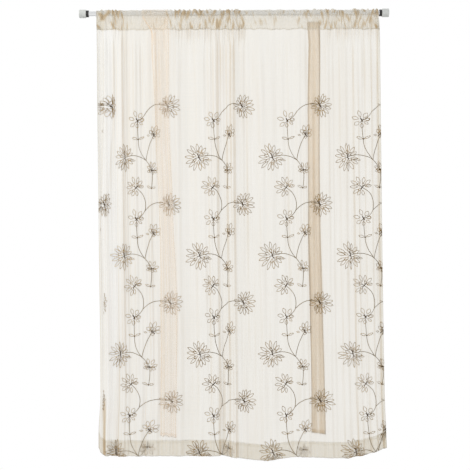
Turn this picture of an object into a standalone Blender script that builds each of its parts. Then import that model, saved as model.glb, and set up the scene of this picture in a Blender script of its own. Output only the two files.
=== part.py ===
"""Sheer curtain with a rod pocket and two long tie sashes, hanging on a slim round rod.

Metres, +Z up. The rod runs along +X, the front of the curtain faces -Y, and the origin is the
centre of the left end cap's outer face. Every cloth piece is one closed solid, swept from a few
sections whose sizes are in the tables below.
"""
import math

import bmesh
import bpy
from mathutils import Matrix

# Rod
ROD_LENGTH = 1.110
CAP_LENGTH = 0.025
CAP_RADIUS = 0.0150
CAP_EDGE = 0.0015
RING_LENGTH = 0.009
RING_RADIUS = 0.0120
RING_EDGE = 0.0008
TUBE_RADIUS = 0.0095
ROUND_SIDES = 32
GAP = 0.0003

# Cloth, common
CLOTH = 0.0010
ARC_STEPS = 6

# Panel: rod pocket, rows and columns
POCKET_INSIDE = 0.0105
POCKET_SEAM_Z = -0.057
SEAM_JOIN = 0.004
SEAM_STEP = 0.007
PANEL_COLUMNS = 72
PANEL_ROWS = (0.05, 0.12, 0.21, 0.31, 0.42, 0.53, 0.64, 0.75, 0.87)
HEM_DEPTH = 0.058
HEM_STEP = 0.003
PANEL_FOOT_Z = -1.5877

# Panel outline: height, left edge, right edge
OUTLINE = (
    # z, left_x, right_x
    (0.012, 0.0617, 1.0705),
    (-0.057, 0.0620, 1.0772),
    (-0.311, 0.0628, 1.0790),
    (-0.796, 0.0664, 1.0826),
    (-1.208, 0.0705, 1.0872),
    (-1.387, 0.0705, 1.0901),
    (-1.495, 0.0645, 1.0944),
    (-1.610, 0.0640, 1.0987),
)

# Bottom edge: where across the width, and how far above PANEL_FOOT_Z
FOOT_EDGE = (
    # across, lift
    (0.000, 0.0190),
    (0.018, 0.0040),
    (0.060, 0.0000),
    (0.440, 0.0000),
    (0.525, -0.0140),
    (0.585, -0.0176),
    (0.685, -0.0043),
    (0.780, -0.0080),
    (0.860, -0.0104),
    (0.940, 0.0020),
    (1.000, 0.0190),
)

# Main folds: place across the width at the top and at the foot, half width, how far they stand
# out towards the front (negative: back), and how far down they reach as a share of the drop
FOLDS = (
    # top, foot, half_width, rise, reach
    (0.008, 0.006, 0.010, -0.0050, 1.0),
    (0.032, 0.026, 0.012, 0.0075, 1.0),
    (0.057, 0.058, 0.012, -0.0060, 1.0),
    (0.080, 0.084, 0.011, 0.0060, 1.0),
    (0.106, 0.110, 0.013, -0.0050, 1.0),
    (0.137, 0.136, 0.012, 0.0045, 1.0),
    (0.280, 0.278, 0.016, 0.0055, 1.0),
    (0.322, 0.318, 0.019, -0.0045, 1.0),
    (0.366, 0.358, 0.019, 0.0050, 1.0),
    (0.414, 0.400, 0.018, 0.0065, 1.0),
    (0.447, 0.436, 0.017, -0.0045, 1.0),
    (0.479, 0.468, 0.015, 0.0065, 1.0),
    (0.520, 0.514, 0.022, -0.0035, 1.0),
    (0.556, 0.660, 0.017, 0.0075, 0.3),
    (0.600, 0.590, 0.030, 0.0050, 1.0),
    (0.655, 0.650, 0.028, -0.0035, 1.0),
    (0.708, 0.702, 0.017, 0.0040, 1.0),
    (0.812, 0.808, 0.014, 0.0055, 1.0),
    (0.843, 0.842, 0.013, -0.0055, 1.0),
    (0.869, 0.868, 0.011, 0.0065, 1.0),
    (0.892, 0.892, 0.010, -0.0060, 1.0),
    (0.914, 0.914, 0.010, 0.0060, 1.0),
    (0.936, 0.937, 0.010, -0.0060, 1.0),
    (0.958, 0.960, 0.011, 0.0070, 1.0),
    (0.980, 0.981, 0.010, -0.0065, 1.0),
    (0.998, 0.998, 0.009, 0.0050, 1.0),
)

# Gathers in the pocket: from, to (shares of the width), and how far they stand out
GATHERS = (
    # start, end, height
    (0.000, 0.135, 0.0022),
    (0.262, 0.535, 0.0020),
    (0.795, 1.000, 0.0022),
)
GATHER_EDGE = 0.02
GATHER_REACH = 0.11

# Shares of a full depth
FOLD_AT_SEAM = 0.45
FOLD_GROWTH_DROP = 0.12
FOLD_FADE_DROP = 0.25
SEAM_FOLD_SHARE = 0.4
BELLY_FOLD_SHARE = 0.2
BELLY_SHARE = 0.62
BELLY_GATHER_SHARE = 0.6

# Sashes: both are cut to the same width
SASH_WIDTH = 0.094
SASH_GAP = 0.0008

# Left sash, over the rod and down the front: height, centre, hanging width, distance in front
LEFT_HEAD_X = 0.2716
LEFT_BACK = (
    # z, middle_y
    (-0.0550, 0.0033),
    (-0.0285, 0.0088),
)
LEFT_FOOT_SLANT = -0.12
LEFT_LEVELS = (
    # z, centre_x, width, front_y
    (-0.016, 0.2716, 0.0880, -0.0140),
    (-0.036, 0.2750, 0.0740, -0.0150),
    (-0.060, 0.2790, 0.0640, -0.0155),
    (-0.095, 0.2850, 0.0620, -0.0155),
    (-0.150, 0.2910, 0.0640, -0.0155),
    (-0.230, 0.2935, 0.0570, -0.0150),
    (-0.330, 0.2955, 0.0520, -0.0150),
    (-0.470, 0.2985, 0.0515, -0.0150),
    (-0.620, 0.3065, 0.0520, -0.0155),
    (-0.800, 0.3120, 0.0520, -0.0150),
    (-0.930, 0.3170, 0.0580, -0.0150),
    (-1.060, 0.3190, 0.0640, -0.0150),
    (-1.220, 0.3180, 0.0600, -0.0155),
    (-1.370, 0.3160, 0.0580, -0.0150),
    (-1.5155, 0.3150, 0.0570, -0.0150),
)
LEFT_SECTION_STEPS = 16
LEFT_WAVES = 2.6
LEFT_WAVE_START = 0.35
LEFT_UNEVEN = 0.18
LEFT_UNEVEN_TURN = 7.0
LEFT_UNEVEN_START = 0.6
WAVE_DEPTH_LIMIT = 0.03

# Right sash, behind the panel: height, centre, hanging width, front of the cloth behind mid-plane
RIGHT_FOOT_SLANT = -0.14
RIGHT_LEVELS = (
    # z, centre_x, width, behind_y
    (-0.028, 0.8400, 0.0470, 0.0086),
    (-0.060, 0.8405, 0.0440, 0.0034),
    (-0.110, 0.8430, 0.0410, 0.0040),
    (-0.311, 0.8410, 0.0430, 0.0045),
    (-0.560, 0.8400, 0.0445, 0.0045),
    (-0.796, 0.8400, 0.0450, 0.0045),
    (-1.030, 0.8470, 0.0460, 0.0045),
    (-1.270, 0.8515, 0.0500, 0.0045),
    (-1.5095, 0.8530, 0.0510, 0.0045),
)
LAYER_PITCH = 0.0016
SLANT_POWER = 8
SASH_FOOT_Z = -1.51

COLOURS = {
    # material: (red, green, blue), roughness, metallic
    "voile": ((0.80, 0.72, 0.58), 0.85, 0.0),
    "sash_voile": ((0.76, 0.64, 0.48), 0.85, 0.0),
    "rod_metal": ((0.78, 0.78, 0.77), 0.30, 1.0),
    "cap_plastic": ((0.72, 0.73, 0.70), 0.45, 0.0),
    "ring_rubber": ((0.02, 0.02, 0.02), 0.60, 0.0),
}


def clear_scene():
    for old in list(bpy.data.objects):
        bpy.data.objects.remove(old, do_unlink=True)


def make_material(name):
    colour, roughness, metallic = COLOURS[name]
    material = bpy.data.materials.new(name)
    material.use_nodes = True
    shader = material.node_tree.nodes["Principled BSDF"]
    shader.inputs["Base Color"].default_value = (*colour, 1.0)
    shader.inputs["Roughness"].default_value = roughness
    shader.inputs["Metallic"].default_value = metallic
    return material


def add_object(name, bm, material):
    bmesh.ops.recalc_face_normals(bm, faces=bm.faces)
    mesh = bpy.data.meshes.new(name)
    bm.to_mesh(mesh)
    bm.free()
    mesh.shade_smooth()
    mesh.set_sharp_from_angle(angle=math.radians(40))
    mesh.materials.append(material)
    piece = bpy.data.objects.new(name, mesh)
    bpy.context.collection.objects.link(piece)
    return piece


def between(table, key, column):
    """Value of a table's column at key, along straight lines between rows ordered by column 0."""
    rows = sorted(table)
    if key <= rows[0][0]:
        return rows[0][column]
    for low, high in zip(rows, rows[1:]):
        if key <= high[0]:
            share = (key - low[0]) / (high[0] - low[0])
            return low[column] + share * (high[column] - low[column])
    return rows[-1][column]


def smooth(value):
    value = min(1.0, max(0.0, value))
    return value * value * (3.0 - 2.0 * value)


def add_quad(bm, corners, is_back):
    """Two triangles over four corners of a cloth's face. Its front and its back are cut along the
    same diagonal, so a twisted patch keeps its thickness."""
    first, second, third, fourth = corners
    if is_back:
        bm.faces.new((first, second, fourth))
        bm.faces.new((second, third, fourth))
    else:
        bm.faces.new((first, second, third))
        bm.faces.new((first, third, fourth))


# Rod ------------------------------------------------------------------------------------------

def turned(profile, name, material):
    """A ring or disc turned about the X axis from (x, radius) points, outline closed."""
    bm = bmesh.new()
    points = [bm.verts.new((x, 0.0, radius)) for x, radius in profile]
    edges = [bm.edges.new((a, b)) for a, b in zip(points, points[1:] + points[:1])]
    bmesh.ops.spin(bm, geom=points + edges, cent=(0, 0, 0), axis=(1, 0, 0),
                   angle=2 * math.pi, steps=ROUND_SIDES, use_merge=True)
    bmesh.ops.remove_doubles(bm, verts=bm.verts, dist=1e-6)
    return add_object(name, bm, material)


def round_bar(start, end, radius, edge, name, material):
    """A solid round bar along X with bevelled ends."""
    bm = bmesh.new()
    place = Matrix.Translation(((start + end) / 2, 0.0, 0.0)) @ Matrix.Rotation(math.pi / 2, 4, "Y")
    bmesh.ops.create_cone(bm, cap_ends=True, segments=ROUND_SIDES, radius1=radius, radius2=radius,
                          depth=end - start, matrix=place)
    if edge:
        rims = [e for e in bm.edges if abs(e.verts[0].co.x - e.verts[1].co.x) < 1e-6]
        bmesh.ops.bevel(bm, geom=rims, offset=edge, segments=2, profile=0.5,
                        affect="EDGES", material=-1)
    return add_object(name, bm, material)


def ring_profile(start):
    end = start + RING_LENGTH
    bore = TUBE_RADIUS + GAP
    return (
        (start, bore),
        (start, RING_RADIUS - RING_EDGE),
        (start + RING_EDGE, RING_RADIUS),
        (end - RING_EDGE, RING_RADIUS),
        (end, RING_RADIUS - RING_EDGE),
        (end, bore),
    )


def build_rod(materials):
    tube_start = CAP_LENGTH + GAP
    ring_start = {
        "left": CAP_LENGTH + GAP,
        "right": ROD_LENGTH - CAP_LENGTH - GAP - RING_LENGTH,
    }
    cap_start = {"left": 0.0, "right": ROD_LENGTH - CAP_LENGTH}
    round_bar(tube_start, ROD_LENGTH - tube_start, TUBE_RADIUS, 0.0, "rod_tube", materials["rod_metal"])
    for side in ("left", "right"):
        start = cap_start[side]
        round_bar(start, start + CAP_LENGTH, CAP_RADIUS, CAP_EDGE, "rod_end_" + side,
                  materials["cap_plastic"])
        turned(ring_profile(ring_start[side]), "rod_ring_" + side, materials["ring_rubber"])


# Panel ----------------------------------------------------------------------------------------

def gather_height(across):
    """How far the pocket's gathers stand out at a place across the width."""
    height = 0.0
    for start, end, full in GATHERS:
        rise = smooth((across - start) / GATHER_EDGE + (start == 0.0))
        fall = smooth((end - across) / GATHER_EDGE + (end == 1.0))
        height += full * rise * fall
    return height


def foot_z(across):
    return PANEL_FOOT_Z + between(FOOT_EDGE, across, 1)


def fold_y(across, z):
    """Mid-plane of the hanging panel: negative y is towards the front."""
    width = between(OUTLINE, z, 2) - between(OUTLINE, z, 1)
    drop = min(1.0, max(0.0, (POCKET_SEAM_Z - z) / (POCKET_SEAM_Z - PANEL_FOOT_Z)))
    grow = FOLD_AT_SEAM + (1.0 - FOLD_AT_SEAM) * smooth(drop / FOLD_GROWTH_DROP)
    y = 0.0
    for top, foot, half_width, rise, reach in FOLDS:
        centre = top + (foot - top) * drop
        fade = smooth((reach - drop) / FOLD_FADE_DROP) if reach < 1.0 else 1.0
        offset = (across - centre) * width / half_width
        y -= rise * grow * fade * math.exp(-offset * offset)
    return y


def panel_x(across, z):
    left = between(OUTLINE, z, 1)
    right = between(OUTLINE, z, 2)
    return left + across * (right - left)


def panel_rows(column):
    """The hanging cloth of one column from the seam down: (middle_y, z, front half, back half)."""
    across = column / PANEL_COLUMNS
    gather = gather_height(across) * (1 if column % 2 == 0 else -1)
    bottom = foot_z(across)
    seam_y = fold_y(across, POCKET_SEAM_Z) * SEAM_FOLD_SHARE
    rows = [
        (seam_y, POCKET_SEAM_Z, CLOTH, CLOTH),
        (seam_y, POCKET_SEAM_Z - SEAM_STEP, CLOTH / 2, CLOTH / 2),
    ]
    for share in PANEL_ROWS:
        z = POCKET_SEAM_Z - SEAM_STEP + share * (bottom - POCKET_SEAM_Z)
        below = (POCKET_SEAM_Z - z) / GATHER_REACH
        rows.append((fold_y(across, z) + gather * (1.0 - smooth(below)), z, CLOTH / 2, CLOTH / 2))
    hem_z = bottom + HEM_DEPTH
    rows.append((fold_y(across, hem_z), hem_z + HEM_STEP, CLOTH / 2, CLOTH / 2))
    rows.append((fold_y(across, hem_z), hem_z, CLOTH / 2, CLOTH * 1.5))
    rows.append((fold_y(across, bottom), bottom, CLOTH / 2, CLOTH * 1.5))
    return rows


def panel_column(column):
    """Outer points and inner (pocket) points of one column, as (y, z)."""
    rows = panel_rows(column)
    seam_y = rows[0][0]
    across = column / PANEL_COLUMNS
    gather = gather_height(across) if column % 2 == 0 else 0.0
    inside = POCKET_INSIDE + gather
    outside = inside + CLOTH
    belly_y = fold_y(across, POCKET_SEAM_Z) * BELLY_FOLD_SHARE
    belly_z = POCKET_SEAM_Z / 2
    belly = POCKET_INSIDE * BELLY_SHARE + gather * BELLY_GATHER_SHARE
    angles = [math.pi * step / ARC_STEPS for step in range(ARC_STEPS + 1)]

    outer = [(y - front, z) for y, z, front, _ in reversed(rows)]
    outer.append((belly_y - belly - CLOTH, belly_z))
    outer += [(-outside * math.cos(a), outside * math.sin(a)) for a in angles]
    outer.append((belly_y + belly + CLOTH, belly_z))
    outer += [(y + back, z) for y, z, _, back in rows]

    inner = [(seam_y, POCKET_SEAM_Z + SEAM_JOIN)]
    inner.append((belly_y - belly, belly_z))
    inner += [(-inside * math.cos(a), inside * math.sin(a)) for a in angles]
    inner.append((belly_y + belly, belly_z))
    return outer, inner, len(rows)


def build_panel(material):
    bm = bmesh.new()
    outer_columns = []
    inner_columns = []
    for column in range(PANEL_COLUMNS + 1):
        across = column / PANEL_COLUMNS
        outer, inner, row_count = panel_column(column)
        outer_columns.append([bm.verts.new((panel_x(across, z), y, z)) for y, z in outer])
        inner_columns.append([bm.verts.new((panel_x(across, z), y, z)) for y, z in inner])
    for loops in (outer_columns, inner_columns):
        for left, right in zip(loops, loops[1:]):
            for index in range(len(left)):
                after = (index + 1) % len(left)
                add_quad(bm, (left[index], right[index], right[after], left[after]),
                         is_back=index >= len(left) // 2)
    for outer, inner in ((outer_columns[0], inner_columns[0]), (outer_columns[-1], inner_columns[-1])):
        close_panel_side(bm, outer, inner, row_count)
    return add_object("curtain_panel", bm, material)


def close_panel_side(bm, outer, inner, row_count):
    """Side of the cloth: paired front and back rows, then the pocket's ring round the rod."""
    last = len(outer) - 1
    for row in range(row_count - 1):
        bm.faces.new((outer[row], outer[row + 1], outer[last - row - 1], outer[last - row]))
    ring_outer = outer[row_count - 1:len(outer) - row_count + 1]
    seam_front, seam_back = ring_outer[0], ring_outer[-1]
    bm.faces.new((seam_front, inner[0], seam_back))
    ring_inner = inner + [inner[0]]
    for index in range(len(ring_outer) - 1):
        corners = (ring_outer[index], ring_outer[index + 1], ring_inner[index + 1], ring_inner[index])
        bm.faces.new(corners)


# Sashes ---------------------------------------------------------------------------------------

def thick_line(points, thickness):
    """Closed outline of a strip of cloth whose middle line is given as (x, y) points."""
    front = []
    back = []
    for index, (x, y) in enumerate(points):
        before = points[max(index - 1, 0)]
        after = points[min(index + 1, len(points) - 1)]
        dx, dy = after[0] - before[0], after[1] - before[1]
        length = math.hypot(dx, dy)
        nx, ny = -dy / length, dx / length
        front.append((x - nx * thickness / 2, y - ny * thickness / 2))
        back.append((x + nx * thickness / 2, y + ny * thickness / 2))
    return front + back[::-1]


def foot_slant(x, z, slope):
    """Extra drop of a sash's cut end, which runs down to one side; it fades out above the end."""
    return slope * x * (z / SASH_FOOT_Z) ** SLANT_POWER


def loft(bm, loops):
    """Skin between closed loops of the same length, with quads across the strip at both ends."""
    for lower, upper in zip(loops, loops[1:]):
        for index in range(len(lower)):
            after = (index + 1) % len(lower)
            add_quad(bm, (lower[index], lower[after], upper[after], upper[index]),
                     is_back=index >= len(lower) // 2)
    for loop in (loops[0], loops[-1]):
        last = len(loop) - 1
        for index in range(len(loop) // 2 - 1):
            bm.faces.new((loop[index], loop[index + 1], loop[last - index - 1], loop[last - index]))


def wave_line(width, depth):
    """Middle line of the gathered left sash, centred on x = 0."""
    points = []
    for step in range(LEFT_SECTION_STEPS + 1):
        share = step / LEFT_SECTION_STEPS
        turn = 2 * math.pi * (LEFT_WAVES * share + LEFT_WAVE_START)
        uneven = 1.0 + LEFT_UNEVEN * math.sin(LEFT_UNEVEN_TURN * share + LEFT_UNEVEN_START)
        points.append(((share - 0.5) * width, depth * uneven * math.sin(turn)))
    return points


def line_length(points):
    return sum(math.dist(a, b) for a, b in zip(points, points[1:]))


def wave_depth(width):
    """Fold depth at which the gathered line is as long as the sash is wide."""
    low, high = 0.0, WAVE_DEPTH_LIMIT
    for _ in range(40):
        middle = (low + high) / 2
        if line_length(wave_line(width, middle)) < SASH_WIDTH:
            low = middle
        else:
            high = middle
    return low


def build_left_sash(material):
    bm = bmesh.new()
    loops = []
    inside = POCKET_INSIDE + CLOTH + SASH_GAP
    middle = inside + CLOTH / 2
    flat = [((step / LEFT_SECTION_STEPS - 0.5) * SASH_WIDTH, 0.0)
            for step in range(LEFT_SECTION_STEPS + 1)]

    def flat_loop(inner_point, outer_point):
        strip = thick_line(flat, CLOTH)
        half = len(strip) // 2
        places = [outer_point] * half + [inner_point] * half
        return [bm.verts.new((LEFT_HEAD_X + x, y, z)) for (x, _), (y, z) in zip(strip, places)]

    for z, y in LEFT_BACK:
        loops.append(flat_loop((y - CLOTH / 2, z), (y + CLOTH / 2, z)))
    for step in range(ARC_STEPS + 1):
        angle = math.pi * step / ARC_STEPS
        reach_in, reach_out = middle - CLOTH / 2, middle + CLOTH / 2
        loops.append(flat_loop((reach_in * math.cos(angle), reach_in * math.sin(angle)),
                               (reach_out * math.cos(angle), reach_out * math.sin(angle))))
    for z, centre, width, front in LEFT_LEVELS:
        depth = wave_depth(width)
        strip = thick_line(wave_line(width, depth), CLOTH)
        loops.append([bm.verts.new((centre + x, front + y, z + foot_slant(x, z, LEFT_FOOT_SLANT)))
                      for x, y in strip])
    loft(bm, loops)
    return add_object("tie_left", bm, material)


def folded_line(width):
    """Middle line of the right sash: both long edges turned in twice, three layers at the sides."""
    turn_in = (SASH_WIDTH - width) / 4
    bend = LAYER_PITCH / 2
    left, right = -width / 2, width / 2
    return [
        (left + bend, -LAYER_PITCH),
        (left + turn_in - bend, -LAYER_PITCH),
        (left + turn_in, -LAYER_PITCH / 2),
        (left + turn_in - bend, 0.0),
        (left + bend, 0.0),
        (left, LAYER_PITCH / 2),
        (left + bend, LAYER_PITCH),
        (left + turn_in + bend, LAYER_PITCH),
        (right - turn_in - bend, LAYER_PITCH),
        (right - bend, LAYER_PITCH),
        (right, LAYER_PITCH / 2),
        (right - bend, 0.0),
        (right - turn_in + bend, 0.0),
        (right - turn_in, -LAYER_PITCH / 2),
        (right - turn_in + bend, -LAYER_PITCH),
        (right - bend, -LAYER_PITCH),
    ]


def build_right_sash(material):
    bm = bmesh.new()
    loops = []
    layers_front = LAYER_PITCH + CLOTH / 2
    for z, centre, width, behind in RIGHT_LEVELS:
        strip = thick_line(folded_line(width), CLOTH)
        loops.append([bm.verts.new((centre + x, behind + layers_front + y,
                                    z + foot_slant(x, z, RIGHT_FOOT_SLANT)))
                      for x, y in strip])
    loft(bm, loops)
    return add_object("tie_right", bm, material)


def main():
    clear_scene()
    materials = {name: make_material(name) for name in COLOURS}
    build_rod(materials)
    build_panel(materials["voile"])
    build_left_sash(materials["sash_voile"])
    build_right_sash(materials["sash_voile"])


main()
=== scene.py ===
# %% [markdown]
# # A sheer curtain, its sashes and its rod
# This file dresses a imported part. The part already has the right size and place, in metres, with
# the rod along +X, the room towards -Y and +Z up. Each step first says what the piece is on the
# real curtain, how it could be made, and why it is made this way here.

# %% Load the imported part
import math
import random

import bmesh
import bpy
import numpy as np
from mathutils import Matrix, Vector


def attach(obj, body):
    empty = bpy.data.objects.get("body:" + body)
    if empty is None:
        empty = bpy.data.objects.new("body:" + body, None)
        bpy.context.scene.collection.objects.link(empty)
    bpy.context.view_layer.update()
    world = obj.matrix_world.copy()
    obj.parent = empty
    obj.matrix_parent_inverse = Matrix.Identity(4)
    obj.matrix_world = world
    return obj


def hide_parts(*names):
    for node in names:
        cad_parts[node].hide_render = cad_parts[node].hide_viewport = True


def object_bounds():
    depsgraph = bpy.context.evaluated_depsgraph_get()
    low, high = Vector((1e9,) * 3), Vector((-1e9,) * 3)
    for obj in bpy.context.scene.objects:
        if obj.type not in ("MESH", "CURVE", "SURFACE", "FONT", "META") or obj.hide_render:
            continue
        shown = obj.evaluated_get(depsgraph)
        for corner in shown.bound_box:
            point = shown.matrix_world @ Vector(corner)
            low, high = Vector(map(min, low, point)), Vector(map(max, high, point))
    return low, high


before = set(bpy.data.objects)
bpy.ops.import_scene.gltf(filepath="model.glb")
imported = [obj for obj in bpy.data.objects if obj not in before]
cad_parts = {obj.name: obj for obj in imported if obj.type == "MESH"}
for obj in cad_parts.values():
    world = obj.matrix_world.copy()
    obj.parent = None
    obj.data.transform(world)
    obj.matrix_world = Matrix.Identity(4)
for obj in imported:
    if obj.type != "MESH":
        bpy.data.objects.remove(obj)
cad_low, cad_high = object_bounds()
print("nodes:", sorted(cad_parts))
print("size in mm:", [round(1000 * side) for side in cad_high - cad_low])

# %% [markdown]
# ## Camera
# A curtain is looked at square on, from a few metres away, so that its sides stay straight. A
# long lens does that. The view is as wide as the drop of the cloth and a little air around it.

# %% Camera
VIEW_WIDTH = 1.686
VIEW_DISTANCE = 3.6
VIEW_CENTRE = (0.5556, 0.0, -0.7950)
VIEW_ROLL = 0.2

camera_data = bpy.data.cameras.new("camera")
camera_data.sensor_width = 36.0
camera_data.lens = 36.0 * VIEW_DISTANCE / VIEW_WIDTH
camera = bpy.data.objects.new("camera", camera_data)
bpy.context.scene.collection.objects.link(camera)
camera.matrix_world = (
    Matrix.Translation((VIEW_CENTRE[0], -VIEW_DISTANCE, VIEW_CENTRE[2]))
    @ Matrix.Rotation(math.radians(VIEW_ROLL), 4, "Y")
    @ Matrix.Rotation(math.radians(90), 4, "X")
)
bpy.context.scene.camera = camera
print("lens:", round(camera_data.lens, 1), "mm")

# %% [markdown]
# ## Light, background and floor
# Sheer cloth takes half its look from what is behind it, so the background is plain white, and
# the light that reaches the threads is set apart from it: a dim even sky, a soft lamp from the
# upper left that models the folds, a weak one from the right, and one from behind that glows
# through. The floor is a pale disc well below the hem.

# %% Light, background and floor
def add_node(nodes, kind, inputs=(), **settings):
    """A new node. Each input takes a socket, which is linked, or a plain value."""
    node = nodes.new("ShaderNode" + kind)
    for setting, value in settings.items():
        setattr(node, setting, value)
    for name, value in dict(inputs).items():
        if isinstance(value, bpy.types.NodeSocket):
            node.id_data.links.new(value, node.inputs[name])
        else:
            node.inputs[name].default_value = value
    return node


def place_object(name, data):
    piece = bpy.data.objects.new(name, data)
    bpy.context.scene.collection.objects.link(piece)
    return piece


scene = bpy.context.scene
scene.view_settings.view_transform = "Standard"
scene.view_settings.look = "None"

SKY_LIGHT = (0.62, 0.625, 0.64, 1.0)
world = bpy.data.worlds.new("studio")
scene.world = world
world.use_nodes = True
world_nodes = world.node_tree.nodes
world_nodes.clear()
seen = add_node(world_nodes, "Background", {"Color": (1.0, 1.0, 1.0, 1.0)})
lighting = add_node(world_nodes, "Background", {"Color": SKY_LIGHT})
rays = add_node(world_nodes, "LightPath")
seen_or_mirrored = add_node(world_nodes, "Math", {
    0: rays.outputs["Is Camera Ray"], 1: rays.outputs["Is Glossy Ray"]}, operation="MAXIMUM")
which = add_node(world_nodes, "MixShader", {
    "Fac": seen_or_mirrored.outputs[0], 1: lighting.outputs[0], 2: seen.outputs[0]})
add_node(world_nodes, "OutputWorld", {"Surface": which.outputs[0]})


def add_lamp(name, place, target, size, power, colour):
    """A square soft lamp that looks at a point."""
    lamp = bpy.data.lights.new(name, "AREA")
    lamp.shape = "SQUARE"
    lamp.size = size
    lamp.energy = power
    lamp.color = colour
    holder = place_object(name, lamp)
    aim = (Vector(target) - Vector(place)).to_track_quat("-Z", "Y")
    holder.matrix_world = Matrix.Translation(place) @ aim.to_matrix().to_4x4()
    return holder


middle = (cad_low + cad_high) / 2
add_lamp("lamp_left", (-1.9, -1.5, 0.7), middle, 1.0, 36.0, (1.0, 0.985, 0.96))
add_lamp("lamp_right", (2.9, -2.3, -0.2), middle, 1.6, 14.0, (1.0, 0.98, 0.95))
add_lamp("lamp_behind", (0.2, 2.6, 0.3), middle, 1.8, 22.0, (1.0, 1.0, 1.0))

FLOOR_BELOW_HEM = 0.9
FLOOR_RADIUS = 1.25
floor_mesh = bpy.data.meshes.new("floor")
bm = bmesh.new()
floor_place = Matrix.Translation((middle.x, 0.0, cad_low.z - FLOOR_BELOW_HEM))
bmesh.ops.create_circle(bm, cap_ends=True, segments=96, radius=FLOOR_RADIUS, matrix=floor_place)
bm.to_mesh(floor_mesh)
bm.free()
floor = place_object("floor", floor_mesh)
floor_paint = bpy.data.materials.new("floor_paint")
floor_paint.use_nodes = True
floor_shader = floor_paint.node_tree.nodes["Principled BSDF"]
floor_shader.inputs["Base Color"].default_value = (0.80, 0.80, 0.79, 1.0)
floor_shader.inputs["Roughness"].default_value = 0.8
floor_mesh.materials.append(floor_paint)
print("floor at", round(cad_low.z - FLOOR_BELOW_HEM, 3))

# %% [markdown]
# ## How the cloth hangs: the main folds
# A curtain could be draped by simulation, but its creases would then fall where they like. This
# one has known folds, so the cloth is placed by given rules instead: a table of long
# folds, each with its place at the top and at the foot, its half width and how far it stands out.
# The solid part was shaped by the same folds, a few of them a little deeper or flatter, so the fine
# cloth lies in the solid's space.

# %% Sizes and tables of the panel
POCKET_RADIUS = 0.0110
SEAM_Z = -0.057
FOOT_Z = -1.5877
HEM_DEPTH = 0.058

OUTLINE = (
    # height, left edge, right edge
    (0.012, 0.0617, 1.0705),
    (-0.057, 0.0620, 1.0772),
    (-0.311, 0.0628, 1.0790),
    (-0.796, 0.0664, 1.0826),
    (-1.208, 0.0705, 1.0872),
    (-1.387, 0.0705, 1.0901),
    (-1.495, 0.0645, 1.0944),
    (-1.610, 0.0640, 1.0987),
)

FOOT_EDGE = (
    # across, lift of the bottom edge
    (0.000, 0.0300),
    (0.005, 0.0150),
    (0.012, 0.0075),
    (0.024, 0.0030),
    (0.060, 0.0000),
    (0.440, 0.0000),
    (0.525, -0.0140),
    (0.585, -0.0176),
    (0.685, -0.0043),
    (0.780, -0.0080),
    (0.860, -0.0104),
    (0.930, 0.0030),
    (0.980, 0.0190),
    (1.000, 0.0290),
)

FOLDS = (
    # across at the top, across at the foot, half width, rise to the front, reach down
    (0.008, 0.006, 0.010, -0.0050, 1.0),
    (0.032, 0.026, 0.012, 0.0075, 1.0),
    (0.057, 0.058, 0.012, -0.0060, 1.0),
    (0.080, 0.084, 0.011, 0.0060, 1.0),
    (0.106, 0.110, 0.013, -0.0050, 1.0),
    (0.137, 0.136, 0.012, 0.0045, 1.0),
    (0.280, 0.278, 0.016, 0.0055, 1.0),
    (0.322, 0.318, 0.019, -0.0045, 1.0),
    (0.366, 0.358, 0.019, 0.0050, 1.0),
    (0.414, 0.400, 0.018, 0.0065, 1.0),
    (0.447, 0.436, 0.017, -0.0075, 1.0),
    (0.479, 0.468, 0.015, 0.0090, 1.0),
    (0.520, 0.514, 0.022, -0.0035, 1.0),
    (0.556, 0.660, 0.017, 0.0075, 0.3),
    (0.600, 0.590, 0.030, 0.0050, 1.0),
    (0.655, 0.650, 0.028, -0.0035, 1.0),
    (0.708, 0.702, 0.017, 0.0040, 1.0),
    (0.812, 0.808, 0.014, 0.0045, 1.0),
    (0.843, 0.842, 0.013, -0.0042, 1.0),
    (0.869, 0.868, 0.011, 0.0048, 1.0),
    (0.892, 0.892, 0.010, -0.0040, 1.0),
    (0.914, 0.914, 0.010, 0.0042, 1.0),
    (0.936, 0.937, 0.010, -0.0042, 1.0),
    (0.958, 0.960, 0.011, 0.0052, 1.0),
    (0.980, 0.981, 0.010, -0.0058, 1.0),
    (0.998, 0.998, 0.009, 0.0050, 1.0),
)


def between(table, key, column):
    """A column of a table at any key, on straight lines between its rows."""
    rows = sorted(table)
    return np.interp(key, [row[0] for row in rows], [row[column] for row in rows])


def smooth(value):
    value = np.clip(value, 0.0, 1.0)
    return value * value * (3.0 - 2.0 * value)


def panel_x(across, z):
    left, right = between(OUTLINE, z, 1), between(OUTLINE, z, 2)
    return left + across * (right - left)


def foot_z(across):
    return FOOT_Z + between(FOOT_EDGE, across, 1)


def drop_share(z):
    return np.clip((SEAM_Z - z) / (SEAM_Z - FOOT_Z), 0.0, 1.0)


AT_TOP, FULL_FROM = 0.45, 0.12
FADE_LENGTH = 0.25


def main_folds(across, z):
    """How far the cloth is from its middle plane by the long folds; negative is to the front."""
    width = between(OUTLINE, z, 2) - between(OUTLINE, z, 1)
    drop = drop_share(z)
    grow = AT_TOP + (1.0 - AT_TOP) * smooth(drop / FULL_FROM)
    y = np.zeros(np.broadcast(across, z).shape)
    for top, foot, half_width, rise, reach in FOLDS:
        centre = top + (foot - top) * drop
        fade = smooth((reach - drop) / FADE_LENGTH) if reach < 1.0 else 1.0
        offset = (across - centre) * width / half_width
        y -= rise * grow * fade * np.exp(-offset * offset)
    return y


print("long folds:", len(FOLDS))

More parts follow.
